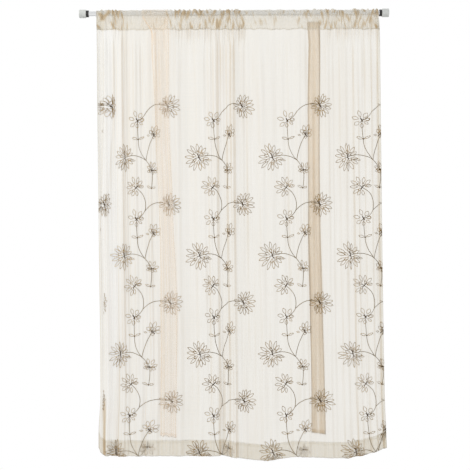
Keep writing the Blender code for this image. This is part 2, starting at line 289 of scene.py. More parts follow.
# %% [markdown]
# ## The fine folds and the gathers on the rod
# Between the long folds the voile drops in many narrow ones, close together where the panel is
# pushed up on the rod and almost none where it is pulled flat. Above the stitching they turn into
# tight gathers. Drawing each by hand would take hundreds of rows, so a seeded random walk places
# them along the width. How deep they are isn't chosen but worked out: a curtain maker thinks in
# fullness, the metres of flat cloth in a metre of hanging width. The folds are deepened or
# flattened until every zone holds just that much cloth, or is as deep as it may get.

# %% Fine folds
FINE_ZONES = (
    # across, pitch, fullness
    (0.00, 0.014, 1.50),
    (0.05, 0.014, 1.50),
    (0.12, 0.017, 1.20),
    (0.20, 0.018, 1.10),
    (0.30, 0.027, 1.05),
    (0.39, 0.019, 1.12),
    (0.47, 0.018, 1.30),
    (0.56, 0.032, 1.05),
    (0.65, 0.031, 1.05),
    (0.74, 0.024, 1.06),
    (0.83, 0.017, 1.06),
    (0.93, 0.016, 1.13),
    (1.00, 0.013, 1.30),
)
FIRST_RISE = 0.004
GATHER_ZONES = (
    # across, pitch, rise
    (0.000, 0.0105, 0.0046),
    (0.078, 0.0100, 0.0046),
    (0.092, 0.0180, 0.0012),
    (0.150, 0.0200, 0.0008),
    (0.250, 0.0200, 0.0008),
    (0.265, 0.0095, 0.0044),
    (0.520, 0.0095, 0.0046),
    (0.535, 0.0240, 0.0012),
    (0.700, 0.0240, 0.0012),
    (0.745, 0.0150, 0.0018),
    (0.800, 0.0150, 0.0022),
    (0.815, 0.0100, 0.0044),
    (1.000, 0.0095, 0.0048),
)
MEAN_WIDTH = 1.016
GATHER_DEPTH = 0.8
GATHER_FADE = 0.075
FIRST_PLACE = 0.004
SPACINGS = (0.55, 1.45)
FULL_TURN = 6.28
FOLD_DRAWS = {    # limits between which each is drawn, in this order
    "half_width": (0.24, 0.42),      # times the pitch
    "rise": (0.3, 1.5),              # times the zone's rise
    "drift": (-0.004, 0.004),
    "lean": (-0.22, 0.22),
    "beat": (0.4, 1.6),
    "start": (0.0, FULL_TURN),
}


def scatter_folds(zones, seed):
    """Folds that stand out to the front and to the back in turn, unevenly spaced."""
    draw = random.Random(seed)
    place, side, folds = FIRST_PLACE, 1.0, []
    while place < 1.0:
        pitch = float(between(zones, place, 1))
        fold = {name: draw.uniform(*limits) for name, limits in FOLD_DRAWS.items()}
        fold["across"] = place
        fold["half_width"] *= pitch
        fold["rise"] *= side * float(between(zones, place, 2))
        folds.append(fold)
        side = -side
        place += 0.5 * pitch * draw.uniform(*SPACINGS) / MEAN_WIDTH
    return folds


def scattered(folds, across, z, liveliness):
    """Sum of the scattered folds. Each swells and fades on its way down, and leans above the seam."""
    drop = drop_share(z)
    above = np.clip(z - SEAM_Z, 0.0, None)
    y = np.zeros(np.broadcast(across, z).shape)
    for fold in folds:
        centre = fold["across"] + fold["drift"] * drop + fold["lean"] * above
        offset = (across - centre) * MEAN_WIDTH / fold["half_width"]
        swell = 1.0 - liveliness + liveliness * np.sin(fold["start"] + FULL_TURN * fold["beat"] * drop)
        y -= fold["rise"] * swell * np.exp(-offset * offset)
    return y


LEVEL = -0.87
LIVELINESS = 0.35
ROUNDS = 80
EASE = 0.3
SHALLOWEST, DEEPEST = 0.1, 2.4


def deepened(fold, factor):
    return {**fold, "rise": fold["rise"] * float(factor)}


def filled_out(folds):
    """The same folds, deepened or flattened until each zone has its fullness at mid height, as far
    as SHALLOWEST and DEEPEST let them."""
    across = np.linspace(0.0, 1.0, 4001)
    level = np.full_like(across, LEVEL)
    x, main = panel_x(across, LEVEL), main_folds(across, level)
    keys = np.array([row[0] for row in FINE_ZONES])
    wanted = np.array([row[2] for row in FINE_ZONES])
    ends = np.concatenate(([0.0], (keys[1:] + keys[:-1]) / 2, [1.0]))
    shapes = []
    for one_zone in np.eye(len(keys)):
        weighed = [deepened(fold, np.interp(fold["across"], keys, one_zone)) for fold in folds]
        shapes.append(scattered([fold for fold in weighed if fold["rise"]], across, level, LIVELINESS))
    depth = np.ones(len(keys))
    for _ in range(ROUNDS):
        y = main + depth @ np.array(shapes)
        walked = np.concatenate(([0.0], np.cumsum(np.hypot(np.diff(x), np.diff(y)))))
        fullness = np.diff(np.interp(ends, across, walked)) / np.diff(np.interp(ends, across, x))
        depth = np.clip(depth * ((wanted - 1.0) / (fullness - 1.0)) ** EASE, SHALLOWEST, DEEPEST)
    print("fullness reached:", [round(float(value), 2) for value in fullness])
    return [deepened(fold, np.interp(fold["across"], keys, depth)) for fold in folds]


FINE_FOLDS = filled_out(scatter_folds([(row[0], row[1], FIRST_RISE) for row in FINE_ZONES], 11))
GATHERS = scatter_folds(GATHER_ZONES, 5)

PLEAT_ZONES = (
    # across, spacing in metres, strength
    (0.000, 0.0052, 1.00),
    (0.080, 0.0048, 1.10),
    (0.092, 0.0120, 0.35),
    (0.170, 0.0120, 0.25),
    (0.252, 0.0080, 0.50),
    (0.264, 0.0048, 0.90),
    (0.520, 0.0044, 1.15),
    (0.532, 0.0100, 0.45),
    (0.690, 0.0090, 0.55),
    (0.740, 0.0060, 0.80),
    (0.800, 0.0060, 0.75),
    (0.815, 0.0050, 0.95),
    (1.000, 0.0048, 1.10),
)
PLEAT_DEPTH = 0.0013
FIRST_PLEAT, LAST_PLEAT = 0.002, 0.999
UNDER_ROD, ON_ROD = (-0.054, -0.020), (-0.014, 0.012)
PLEAT_SPACINGS = (0.5, 1.5)
PLEAT_DRAWS = {    # limits between which each is drawn, in this order
    "half_width": (0.0015, 0.0042),
    "half_height": (0.006, 0.019),
    "slant": (-0.40, 0.45),
    "weight": (0.35, 1.35),          # times the zone's strength
}


def scatter_pleats(seed):
    """Short slanting pinches of cloth between the stitching and the top of the rod."""
    draw = random.Random(seed)
    place, pleats = FIRST_PLEAT, []
    while place < LAST_PLEAT:
        height = draw.choice((draw.uniform(*UNDER_ROD), draw.uniform(*ON_ROD)))
        pleat = {name: draw.uniform(*limits) for name, limits in PLEAT_DRAWS.items()}
        pleat["across"], pleat["height"] = place, height
        pleat["weight"] *= float(between(PLEAT_ZONES, place, 2))
        pleats.append(pleat)
        place += float(between(PLEAT_ZONES, place, 1)) * draw.uniform(*PLEAT_SPACINGS) / MEAN_WIDTH
    return pleats


PLEATS = scatter_pleats(8)


def pleated(across, z):
    total = np.zeros(np.broadcast(across, z).shape)
    for pleat in PLEATS:
        above = z - pleat["height"]
        aside = (across - pleat["across"]) * MEAN_WIDTH - pleat["slant"] * above
        offset = aside / pleat["half_width"]
        total += pleat["weight"] * np.exp(-offset * offset - (above / pleat["half_height"]) ** 2)
    return total


FINE_AT_SEAM, FINE_FULL_BELOW = 0.35, 0.10
MAIN_AT_SEAM, MAIN_FULL_BELOW = 0.4, 0.05


def opened(at_seam, share):
    """Grows from its size at the seam to full size."""
    return at_seam + (1.0 - at_seam) * smooth(share)


def hanging_y(across, z):
    """Where the cloth is, front to back, anywhere below the stitching."""
    below = SEAM_Z - z
    fine = scattered(FINE_FOLDS, across, z, LIVELINESS) * opened(FINE_AT_SEAM, below / FINE_FULL_BELOW)
    tight = GATHER_DEPTH * scattered(GATHERS, across, z, 0.0) * (1.0 - smooth(below / GATHER_FADE))
    main = main_folds(across, z) * opened(MAIN_AT_SEAM, below / MAIN_FULL_BELOW)
    return main + fine + tight


print("fine folds:", len(FINE_FOLDS), "gathers:", len(GATHERS), "pleats:", len(PLEATS))

# %% [markdown]
# ## From flat cloth to hanging cloth
# The embroiderer works on flat cloth, so the pattern needs flat measures: how much cloth lies
# between two places on the width once all folds are opened out. Adding up short steps along the
# folded line gives that. Even steps on the flat cloth then put more of the grid where the folds
# are, and the embroidery closes up there just as the real one does.

# %% Flat width and how it maps to the hanging width
fine_across = np.linspace(0.0, 1.0, 9001)
fine_x = panel_x(fine_across, LEVEL)
fine_y = hanging_y(fine_across, np.full_like(fine_across, LEVEL))
steps = np.hypot(np.diff(fine_x), np.diff(fine_y))
flat_at = np.concatenate(([0.0], np.cumsum(steps)))
FLAT_WIDTH = float(flat_at[-1])
PANEL_STEPS = 705
HEM_STEPS = 7
COLUMN_STEP = FLAT_WIDTH / PANEL_STEPS
SIDE_HEM = HEM_STEPS * COLUMN_STEP
LAYER = 0.0008


def across_of(flat):
    """Share of the hanging width for a distance along the flat cloth from the left edge."""
    return np.interp(flat, flat_at, fine_across)


REPEAT_WIDTH = 0.2985
AXIS_ACROSS = 0.4360
LEFT_FLOWER, RIGHT_FLOWER = -0.0865, 0.0955
DRIFT_HEIGHTS = (-0.35, -0.87, -1.45)
HANGING_PLACES = (
    # vine, flat distance to the right of its stem, x where that hangs at the three heights
    (-2, RIGHT_FLOWER, 0.115, 0.074, 0.066),
    (-1, LEFT_FLOWER, 0.163, 0.158, 0.128),
    (-1, 0.0, 0.240, 0.233, 0.208),
    (-1, RIGHT_FLOWER, 0.315, 0.320, 0.324),
    (0, LEFT_FLOWER, 0.426, 0.429, 0.425),
    (0, 0.0, 0.512, 0.507, 0.507),
    (0, RIGHT_FLOWER, 0.582, 0.584, 0.585),
    (1, LEFT_FLOWER, 0.690, 0.689, 0.687),
    (1, 0.0, 0.780, 0.775, 0.770),
    (1, RIGHT_FLOWER, 0.863, 0.858, 0.860),
    (2, LEFT_FLOWER, 0.957, 0.970, 0.984),
    (2, 0.0, 1.050, 1.055, 1.061),
)
axis_flat = float(np.interp(AXIS_ACROSS, fine_across, flat_at))


def drift_rows():
    """How far the cloth has moved along the width at each hanging place; the edges stay."""
    rows = [(0.0, 0.0, 0.0, 0.0), (1.0, 0.0, 0.0, 0.0)]
    for vine, aside, *places in HANGING_PLACES:
        across = float(across_of(axis_flat + vine * REPEAT_WIDTH + aside))
        moves = []
        for z, x in zip(DRIFT_HEIGHTS, places):
            left, right = between(OUTLINE, z, 1), between(OUTLINE, z, 2)
            moves.append(float((x - left) / (right - left)) - across)
        rows.append((across, *moves))
    return rows


GRAIN_DRIFT = drift_rows()


def drifted(across, z):
    """The cloth is not hung quite straight, so its grain leaves the vertical on the way down."""
    high, middle, low = (between(GRAIN_DRIFT, across, column) for column in (1, 2, 3))
    down = np.clip((DRIFT_HEIGHTS[0] - z) / (DRIFT_HEIGHTS[0] - DRIFT_HEIGHTS[1]), 0.0, 1.0)
    further = np.clip((DRIFT_HEIGHTS[1] - z) / (DRIFT_HEIGHTS[1] - DRIFT_HEIGHTS[2]), 0.0, 1.0)
    return across + high + (middle - high) * down + (low - middle) * further


print("flat width between the side edges:", round(FLAT_WIDTH, 3))
print("most and least drift in mm:", round(1000 * max(max(row[1:]) for row in GRAIN_DRIFT)),
      round(1000 * min(min(row[1:]) for row in GRAIN_DRIFT)))

# %% [markdown]
# ## One point of the panel
# The panel is one length of cloth: turned in at the back, up behind the rod, over it, down the
# front, through the stitching, down to the foot, and up again behind as the hem. This function
# walks along that path. `flat` runs across the cloth and `along` runs down it, from zero at the
# stitching; below zero it goes up and over the rod.

# %% The path of the cloth
POCKET_RISE = -SEAM_Z
OVER_ROD = math.pi * POCKET_RADIUS
POCKET_LENGTH = 2 * POCKET_RISE + OVER_ROD
TUCK = 0.004
HEM_TUCK = 0.012
BELOW_STITCHES = 0.001
POCKET_TOP_ALONG = -(POCKET_LENGTH + BELOW_STITCHES + TUCK)
RUFFLE_REACH = 0.016
RUFFLE_HEIGHT = 0.0013
RUFFLE_WAVES = ((1.0, 96.0, 2.0), (0.8, 211.0, 0.0), (0.7, 37.0, 0.0))    # strength, beat, phase
TURN_LENGTH = 0.002
SWELL_SHARE, SWELL_LEAST, SWELL_MOST = 1.1, 0.0012, 0.0050


def pocket_slack(z):
    """Half the opening of the pocket between the stitching and the rod's middle."""
    depth = np.clip(z / SEAM_Z, 0.0, 1.0)
    return POCKET_RADIUS * (1.0 - depth ** 1.5)


def ruffle(across, z):
    """Small ups and downs of the stitch line, where the gathers tug at it."""
    waves = sum(strength * np.sin(beat * across + phase) for strength, beat, phase in RUFFLE_WAVES)
    return RUFFLE_HEIGHT * waves * np.exp(-((z - SEAM_Z) / RUFFLE_REACH) ** 2)


def flat_inside(flat):
    """Flat distance with the side hems folded back onto the panel."""
    return np.where(flat < 0.0, -flat, np.where(flat > FLAT_WIDTH, 2 * FLAT_WIDTH - flat, flat))


def drop_at(flat):
    """Length of the hanging cloth from the stitching to the foot."""
    return SEAM_Z - foot_z(drifted(across_of(flat_inside(flat)), FOOT_Z))


def cloth_point(flat, along):
    """Place of the cloth as x, y and z arrays."""
    flat, along = np.broadcast_arrays(np.asarray(flat, float), np.asarray(along, float))
    side_layer = (flat < 0.0) | (flat > FLAT_WIDTH)
    drop = drop_at(flat)

    # hanging part and hem
    beyond = np.clip(along - drop, 0.0, None)
    hem_up = np.minimum(beyond, HEM_DEPTH)
    hem_tuck = np.clip(beyond - HEM_DEPTH, 0.0, None)
    z = SEAM_Z - np.minimum(np.clip(along, 0.0, None), drop) + hem_up - hem_tuck
    across = drifted(across_of(flat_inside(flat)), z)
    y = hanging_y(across, z)
    # the side hem is turned first, so the foot's hem passes round it there
    from_edge = np.minimum(np.abs(flat), np.abs(flat - FLAT_WIDTH))
    on_side_hem = smooth((SIDE_HEM - from_edge) / (2 * COLUMN_STEP) + 1.0)
    turned_up = smooth(beyond / TURN_LENGTH)
    y = y + LAYER * (1.0 + 2.0 * on_side_hem) * turned_up
    y = y - 0.5 * LAYER * smooth(hem_tuck / TURN_LENGTH)

    # pocket: both faces keep the gathers of the stitching and part around the rod
    up = np.clip(-along, 0.0, None)
    rise_front = np.minimum(up, POCKET_RISE)
    turn = np.clip((up - POCKET_RISE) / OVER_ROD, 0.0, 1.0)
    fall_back = np.clip(up - POCKET_RISE - OVER_ROD, 0.0, POCKET_RISE + BELOW_STITCHES)
    tuck_up = np.clip(up - POCKET_LENGTH - BELOW_STITCHES, 0.0, None)
    pocket_z = np.where(up <= POCKET_RISE, SEAM_Z + rise_front, -fall_back + tuck_up)
    share_up = np.clip(1.0 - pocket_z / SEAM_Z, 0.0, 1.0)
    seam_level = np.full_like(across, SEAM_Z)
    at_seam = hanging_y(across, seam_level)
    seam_gathers = GATHER_DEPTH * scattered(GATHERS, across, seam_level, 0.0)
    gathers = GATHER_DEPTH * scattered(GATHERS, across, np.clip(pocket_z, SEAM_Z, 0.0), 0.0)
    near_rod = smooth(share_up)
    swell = np.clip(SWELL_SHARE * gathers + SWELL_LEAST, 0.0, SWELL_MOST)
    shared = (at_seam - seam_gathers) * (1.0 - share_up) + gathers * (1.0 - near_rod)
    pleats = PLEAT_DEPTH * pleated(across, pocket_z) * (1.0 - turn)
    half = pocket_slack(pocket_z) + swell * near_rod + pleats
    front = shared - half
    back = shared + half + 0.5 * LAYER - 0.5 * LAYER * smooth(tuck_up / TURN_LENGTH)
    on_rod = (up > POCKET_RISE) & (turn < 1.0)
    angle = math.pi * turn
    radius = POCKET_RADIUS + swell
    pocket_y = np.where(up <= POCKET_RISE, front, back)
    pocket_y = np.where(on_rod, -radius * np.cos(angle), pocket_y)
    pocket_z = np.where(on_rod, radius * np.sin(angle), pocket_z)

    in_pocket = along < 0.0
    z = np.where(in_pocket, pocket_z, z)
    y = np.where(in_pocket, pocket_y, y)
    y = y + LAYER * np.where(side_layer, 1.0 - 2.0 * turned_up, 0.0)
    x = panel_x(across, z)
    return x, y, z + ruffle(across, z)


def panel_along(flat, row):
    """Rows are metres above the stitching, shares of the drop below it, and metres past the foot."""
    drop = drop_at(flat)
    return np.where(row <= 0.0, row, np.where(row < 1.0, row * drop, drop + row - 1.0))


# %% [markdown]
# ## Cloth from a grid
# Sheet goods are easiest from one flat grid whose points are then moved. `bmesh.ops.create_grid`
# makes the faces, a UV map in metres keeps the flat measures for the weave, and an attribute
# called `cover` says how much of the view the threads close: little in one flat layer, more where
# the cloth turns edge-on in a fold. Sheer cloth looks denser there. `STEEPEST`, `MOST_PACKED` and
# `PACKED_POWER` hold that back: with every layer counted, folds come out as hard dark lines.

# %% Sheet builder
BARE_COVER = 0.48
PACKED_POWER = 0.5
STEEPEST = 0.40
MOST_PACKED = 3.0


def slope_cover(mesh):
    """How many times more cloth a view from the front crosses where the surface turns sideways."""
    facing = np.zeros(len(mesh.vertices) * 3, np.float32)
    mesh.vertex_normals.foreach_get("vector", facing)
    sideways = facing.reshape(-1, 3)[:, 0]
    return 1.0 / np.sqrt(np.clip(1.0 - sideways * sideways, STEEPEST, 1.0))


def packing(points, columns, reach):
    """How much more cloth there is across than the grid shows, averaged over a few columns."""
    steps = np.hypot(np.diff(points[:, :, 0], axis=1), np.diff(points[:, :, 1], axis=1))
    walked = np.concatenate([np.zeros((len(points), 1)), np.cumsum(steps, axis=1)], axis=1)
    index = np.arange(len(columns))
    low, high = np.maximum(index - reach, 0), np.minimum(index + reach, len(columns) - 1)
    cloth = np.asarray(columns)[high] - np.asarray(columns)[low]
    return cloth / np.maximum(walked[:, high] - walked[:, low], 1e-6)


def make_sheet(name, columns, rows, place, measure=None, pinched=None, reach=3):
    """A grid hung by place(flat, along). measure turns a row value into flat metres if it is not
    one already, and pinched says how much more cloth is pleated together at each place."""
    bm = bmesh.new()
    bmesh.ops.create_grid(bm, x_segments=len(columns) - 1, y_segments=len(rows) - 1, size=0.5)
    bm.verts.ensure_lookup_table()
    grid = np.array([vertex.co[:] for vertex in bm.verts])
    column = np.rint((grid[:, 0] + 0.5) * (len(columns) - 1)).astype(int)
    row = np.rint((0.5 - grid[:, 1]) * (len(rows) - 1)).astype(int)
    flat, down = np.asarray(columns)[column], np.asarray(rows)[row]
    along = down if measure is None else measure(flat, down)
    hung = np.stack(place(flat, along), axis=1)
    for vertex, point in zip(bm.verts, hung):
        vertex.co = point
    measures = bm.loops.layers.uv.new("cloth")
    for face in bm.faces:
        for loop in face.loops:
            index = loop.vert.index
            loop[measures].uv = (flat[index], along[index])
    mesh = bpy.data.meshes.new(name)
    bm.to_mesh(mesh)
    bm.free()
    mesh.shade_smooth()
    piece = place_object(name, mesh)
    points = np.zeros((len(rows), len(columns), 3))
    points[row, column] = hung
    packed = np.clip(packing(points, columns, reach), 1.0, MOST_PACKED)[row, column]
    layers = packed ** PACKED_POWER * slope_cover(mesh)
    if pinched is not None:
        layers = layers * pinched(flat, along, hung[:, 2])
    cover = 1.0 - (1.0 - BARE_COVER) ** layers
    layer = mesh.attributes.new("cover", "FLOAT", "POINT")
    layer.data.foreach_set("value", cover.astype(np.float32))
    print(name, "has", len(mesh.polygons) * 2, "triangles; mean cover", round(float(cover.mean()), 2))
    return piece


# %% [markdown]
# ## The panel
# The columns are even steps on the flat cloth, and the two narrow side hems are turned behind on
# the same steps, so that both layers bend at the same places and don't cut through each other. The
# rows are close together in the pocket and at the hem, where the cloth bends, and further apart
# in the long straight drop.

# %% Panel
def rows_between(start, end, first_step, last_step):
    """Row positions whose spacing grows or shrinks smoothly from the first step to the last."""
    count = max(2, round(2 * (end - start) / (first_step + last_step)))
    share = np.linspace(0.0, 1.0, count + 1)
    ratio = (last_step - first_step) / (last_step + first_step)
    return list(start + (end - start) * (share + ratio * (share * share - share)))


def joined_rows(*stretches):
    """Rows of several stretches; each begins where the one before it ended."""
    rows = rows_between(*stretches[0])
    for stretch in stretches[1:]:
        rows += rows_between(*stretch)[1:]
    return rows


back_seam = -POCKET_LENGTH - BELOW_STITCHES
mean_drop = SEAM_Z - FOOT_Z
near_foot = 1.0 - 0.07 / mean_drop
panel_rows = joined_rows(
    (POCKET_TOP_ALONG, back_seam, 0.0035, 0.0035),
    (back_seam, -POCKET_RISE - OVER_ROD, 0.008, 0.006),
    (-POCKET_RISE - OVER_ROD, -POCKET_RISE, 0.0036, 0.0036),
    (-POCKET_RISE, 0.0, 0.005, 0.005),
    (0.0, near_foot, 0.006 / mean_drop, 0.030 / mean_drop),
    (near_foot, 1.0, 0.009 / mean_drop, 0.003 / mean_drop),
    (1.0, 1.0 + HEM_DEPTH, 0.006, 0.008),
    (1.0 + HEM_DEPTH, 1.0 + HEM_DEPTH + HEM_TUCK, 0.004, 0.004),
)
left_hem = [-count * COLUMN_STEP for count in range(HEM_STEPS, 0, -1)]
right_hem = [FLAT_WIDTH - value for value in reversed(left_hem)]
panel_columns = left_hem + list(np.linspace(0.0, FLAT_WIDTH, PANEL_STEPS + 1)) + right_hem
print("columns and rows:", len(panel_columns), len(panel_rows))


ROLLED_X, ROLLED_Z, ROLLED_HALF_WIDTH = 0.0850, -1.375, 0.0055
ROLLED_COVER, ROLLED_SOFTNESS = 1.3, 0.03
EDGE_WIDTH, EDGE_SOFTNESS, EDGE_THINNING = 0.10, 0.05, 0.40
PLEAT_COVER_AND_SHADE, LIGHTER_BETWEEN_PLEATS = 2.6, 0.35
PRESSED_COVER = 0.4


def panel_pinch(flat, along, z):
    """Denser cloth along the pleats, partly the extra cloth in each pinch and partly painted crease
    shade, and thinner between them as a painted highlight; turned-in edges are pressed flat, and the left
    edge has rolled in a little above the foot."""
    x = cloth_point(flat, along)[0]
    across = across_of(flat_inside(flat))
    edge = smooth((EDGE_WIDTH - across) / EDGE_SOFTNESS) * (along > 0.0)
    aside = (x - ROLLED_X) / ROLLED_HALF_WIDTH
    rolled = smooth((ROLLED_Z - z) / ROLLED_SOFTNESS) * np.exp(-aside * aside)
    front = smooth(-along / 0.004) * smooth((POCKET_RISE + 0.6 * OVER_ROD + along) / 0.006)
    # pleats darker as painted crease shade besides their extra cloth; the cloth between them lighter as a
    # painted highlight
    pleats = front * (PLEAT_COVER_AND_SHADE * pleated(across, z) - LIGHTER_BETWEEN_PLEATS)
    turned_in = (flat < 0.0) | (flat > FLAT_WIDTH) | (along < -POCKET_LENGTH - BELOW_STITCHES)
    turned_in = turned_in | (along > drop_at(flat) + HEM_DEPTH - 0.001)
    pressed = np.where(turned_in, PRESSED_COVER, 1.0)
    return pressed * (1.0 - EDGE_THINNING * edge + ROLLED_COVER * rolled + pleats)


PANEL_REACH = 12
panel = make_sheet("voile_panel", panel_columns, panel_rows, cloth_point, panel_along, panel_pinch,
                   PANEL_REACH)

# %% [markdown]
# ## The left sash
# A sash is a long strip of the same voile with a narrow hem on each long edge. This one goes over
# the rod with its width spread out, then draws together into a few lengthwise folds. The middle
# line of its section is a wave whose depth is found so that the folded strip always measures
# the same width, because cloth does not stretch.

# %% Left sash
SASH_WIDTH = 0.094
SASH_HEM = 0.006
SASH_RADIUS = 0.0152
LEFT_LEVELS = (
    # height, left edge, right edge, distance in front, share drawn into folds
    (0.000, 0.2246, 0.3186, -0.0152, 0.00),
    (-0.012, 0.2250, 0.3186, -0.0155, 0.02),
    (-0.024, 0.2325, 0.3186, -0.0158, 0.10),
    (-0.036, 0.2405, 0.3190, -0.0160, 0.29),
    (-0.050, 0.2485, 0.3212, -0.0160, 0.56),
    (-0.062, 0.2558, 0.3226, -0.0160, 0.86),
    (-0.072, 0.2580, 0.3232, -0.0157, 1.00),
    (-0.095, 0.2586, 0.3235, -0.0155, 1.00),
    (-0.150, 0.2596, 0.3228, -0.0155, 1.00),
    (-0.230, 0.2650, 0.3220, -0.0150, 1.00),
    (-0.330, 0.2695, 0.3215, -0.0150, 1.00),
    (-0.470, 0.2728, 0.3242, -0.0150, 1.00),
    (-0.620, 0.2805, 0.3325, -0.0155, 1.00),
    (-0.800, 0.2860, 0.3380, -0.0150, 1.00),
    (-0.930, 0.2880, 0.3460, -0.0150, 1.00),
    (-1.060, 0.2870, 0.3510, -0.0150, 1.00),
    (-1.220, 0.2880, 0.3480, -0.0155, 1.00),
    (-1.370, 0.2870, 0.3450, -0.0150, 1.00),
    (-1.5155, 0.2865, 0.3435, -0.0150, 1.00),
)
LEFT_STRAND = 0.28
STRAND_SOFTNESS = 0.08
HEAD_DEPTH = 0.0042
WAVES, WAVE_START = 2.6, 0.35
CREASE_DEPTH, CREASES_FULL_BELOW = 0.0007, 0.05
SASH_LAYER = 0.0006
LEFT_BACK = ((-0.0550, 0.0048), (-0.0285, 0.0110), (0.0, SASH_RADIUS))
LEFT_FOOT_Z, LEFT_FOOT_SLANT = -1.5155, -0.12
SLANT_POWER = 8
END_HEM = 0.014


def wave_shape(share):
    """The left sash's folds across its width, from -1 to 1 or so."""
    turn = 2 * math.pi * (WAVES * share + WAVE_START)
    return (1.0 + 0.18 * np.sin(7.0 * share + 0.6)) * np.sin(turn)


def wave_depth(width):
    """Depth of fold at which the folded line is as long as the sash is wide."""
    share = np.linspace(0.0, 1.0, 61)
    shape = wave_shape(share)
    low, high = 0.0, 0.03
    for _ in range(30):
        middle_depth = (low + high) / 2
        length = np.hypot(np.diff(share) * width, np.diff(shape) * middle_depth).sum()
        low, high = (middle_depth, high) if length < SASH_WIDTH else (low, middle_depth)
    return low


level_depths = [(row[0], wave_depth(row[2] - row[1])) for row in LEFT_LEVELS if row[4] == 1.0]


def folded_share(flat, width_of_strip):
    """Place across a strip whose long edges are hemmed: the cloth beyond an edge is turned back."""
    return np.where(flat < 0, -flat, np.where(flat > width_of_strip, 2 * width_of_strip - flat, flat))


def left_sash_point(flat, along):
    """along is measured from the rod's middle height on the front; below zero goes over the rod."""
    hemmed = (flat < 0.0) | (flat > SASH_WIDTH)
    share = folded_share(flat, SASH_WIDTH) / SASH_WIDTH
    drop = np.clip(along, 0.0, None)
    full_drop = -LEFT_FOOT_Z
    end_up = np.clip(drop - full_drop, 0.0, None)
    z = -np.minimum(drop, full_drop) + end_up

    # two strands run in from the edges to the neck; what is left between them lies flat
    left, right = between(LEFT_LEVELS, z, 1), between(LEFT_LEVELS, z, 2)
    drawn = between(LEFT_LEVELS, z, 4)
    left_part = np.maximum(LEFT_STRAND * drawn, 1e-4)
    right_part = np.maximum((1.0 - LEFT_STRAND) * drawn, 1e-4)
    strands = np.maximum(right - left - (1.0 - drawn) * SASH_WIDTH, 0.0)
    x = (left + np.clip(share / left_part, 0.0, 1.0) * LEFT_STRAND * strands
         + np.clip(share - left_part, 0.0, 1.0 - drawn) * SASH_WIDTH
         + np.clip((share - 1.0 + right_part) / right_part, 0.0, 1.0) * (1.0 - LEFT_STRAND) * strands)
    in_strand = np.clip(smooth((left_part - share) / STRAND_SOFTNESS + 0.5)
                        + smooth((share - 1.0 + right_part) / STRAND_SOFTNESS + 0.5), 0.0, 1.0)
    depth = between(level_depths, z, 1)
    at_head = np.minimum(depth, HEAD_DEPTH + (depth - HEAD_DEPTH) * drawn ** 4)
    depth = np.where(drawn < 1.0, at_head, depth) * in_strand * smooth(drawn / 0.3)
    creases = CREASE_DEPTH * np.sin(41.0 * share + 3.0 * np.sin(5.0 * z))
    creases = creases * smooth(drop / CREASES_FULL_BELOW)
    y = between(LEFT_LEVELS, z, 3) + depth * wave_shape(share) + creases
    z = z + LEFT_FOOT_SLANT * (x - (left + right) / 2) * (z / LEFT_FOOT_Z) ** SLANT_POWER

    # over the rod and down behind it
    over = np.clip(-along, 0.0, None)
    turn = math.pi * np.clip(over / (math.pi * SASH_RADIUS), 0.0, 1.0)
    fall = np.clip(over - math.pi * SASH_RADIUS, 0.0, None)
    back_z = np.where(fall > 0, -fall, SASH_RADIUS * np.sin(turn))
    back_y = np.where(fall > 0, between(LEFT_BACK, -fall, 1), -SASH_RADIUS * np.cos(turn))
    y = np.where(along < 0, back_y, y) + SASH_LAYER * hemmed + SASH_LAYER * (end_up > 0)
    z = np.where(along < 0, back_z, z)
    x = np.where(along < 0, LEFT_LEVELS[0][1] + share * SASH_WIDTH, x)
    return x, y, z


LEFT_BEHIND = 0.055
LEFT_OVER = math.pi * SASH_RADIUS
LEFT_START = -(LEFT_OVER + LEFT_BEHIND)
left_rows = joined_rows(
    (LEFT_START, -LEFT_OVER, 0.008, 0.008),
    (-LEFT_OVER, 0.0, 0.0036, 0.0036),
    (0.0, 0.1, 0.0035, 0.005),
    (0.1, -LEFT_FOOT_Z, 0.009, 0.009),
    (-LEFT_FOOT_Z, -LEFT_FOOT_Z + END_HEM, 0.0045, 0.0045),
)
sash_hem = list(np.linspace(-SASH_HEM, -0.001, 4))
far_hem = [SASH_WIDTH - value for value in reversed(sash_hem)]
sash_columns = sash_hem + list(np.linspace(0.0, SASH_WIDTH, 72)) + far_hem


LEFT_CREASES = (
    # places along a crease as height and x, its half width and its strength
    (((-0.120, 0.2720), (-0.085, 0.2650), (-0.062, 0.2575), (-0.036, 0.2420), (-0.010, 0.2265)),
     0.0024, 3.4),
    (((-0.100, 0.2720), (-0.076, 0.2710), (-0.062, 0.2790), (-0.050, 0.2950), (-0.036, 0.3100),
      (-0.018, 0.3160)), 0.0030, 2.0),
    (((-0.140, 0.3080), (-0.090, 0.3040), (-0.062, 0.3030), (-0.048, 0.3120), (-0.030, 0.3160)),
     0.0026, 1.6),
    (((-0.054, 0.2640), (-0.040, 0.2610), (-0.026, 0.2560), (-0.004, 0.2480)), 0.0016, 1.0),
    (((-0.054, 0.2860), (-0.040, 0.2900), (-0.026, 0.2960), (-0.004, 0.3050)), 0.0016, 0.9),
)
# Painted shade of soft folds: lengthwise bands where the left sash's cloth is made denser and darker.
LEFT_CREASE_SHADE_BANDS = (
    # share across, half width as a share, strength, how often it wavers, phase
    (0.04, 0.024, 2.4, 3.0, 0.4),
    (0.21, 0.045, 0.7, 5.5, 2.1),
    (0.38, 0.030, 1.1, 4.0, 4.0),
    (0.52, 0.050, 0.5, 7.0, 1.0),
    (0.68, 0.030, 0.9, 6.0, 5.2),
    (0.83, 0.045, 0.8, 3.5, 3.0),
    (0.94, 0.025, 1.0, 5.0, 0.9),
)


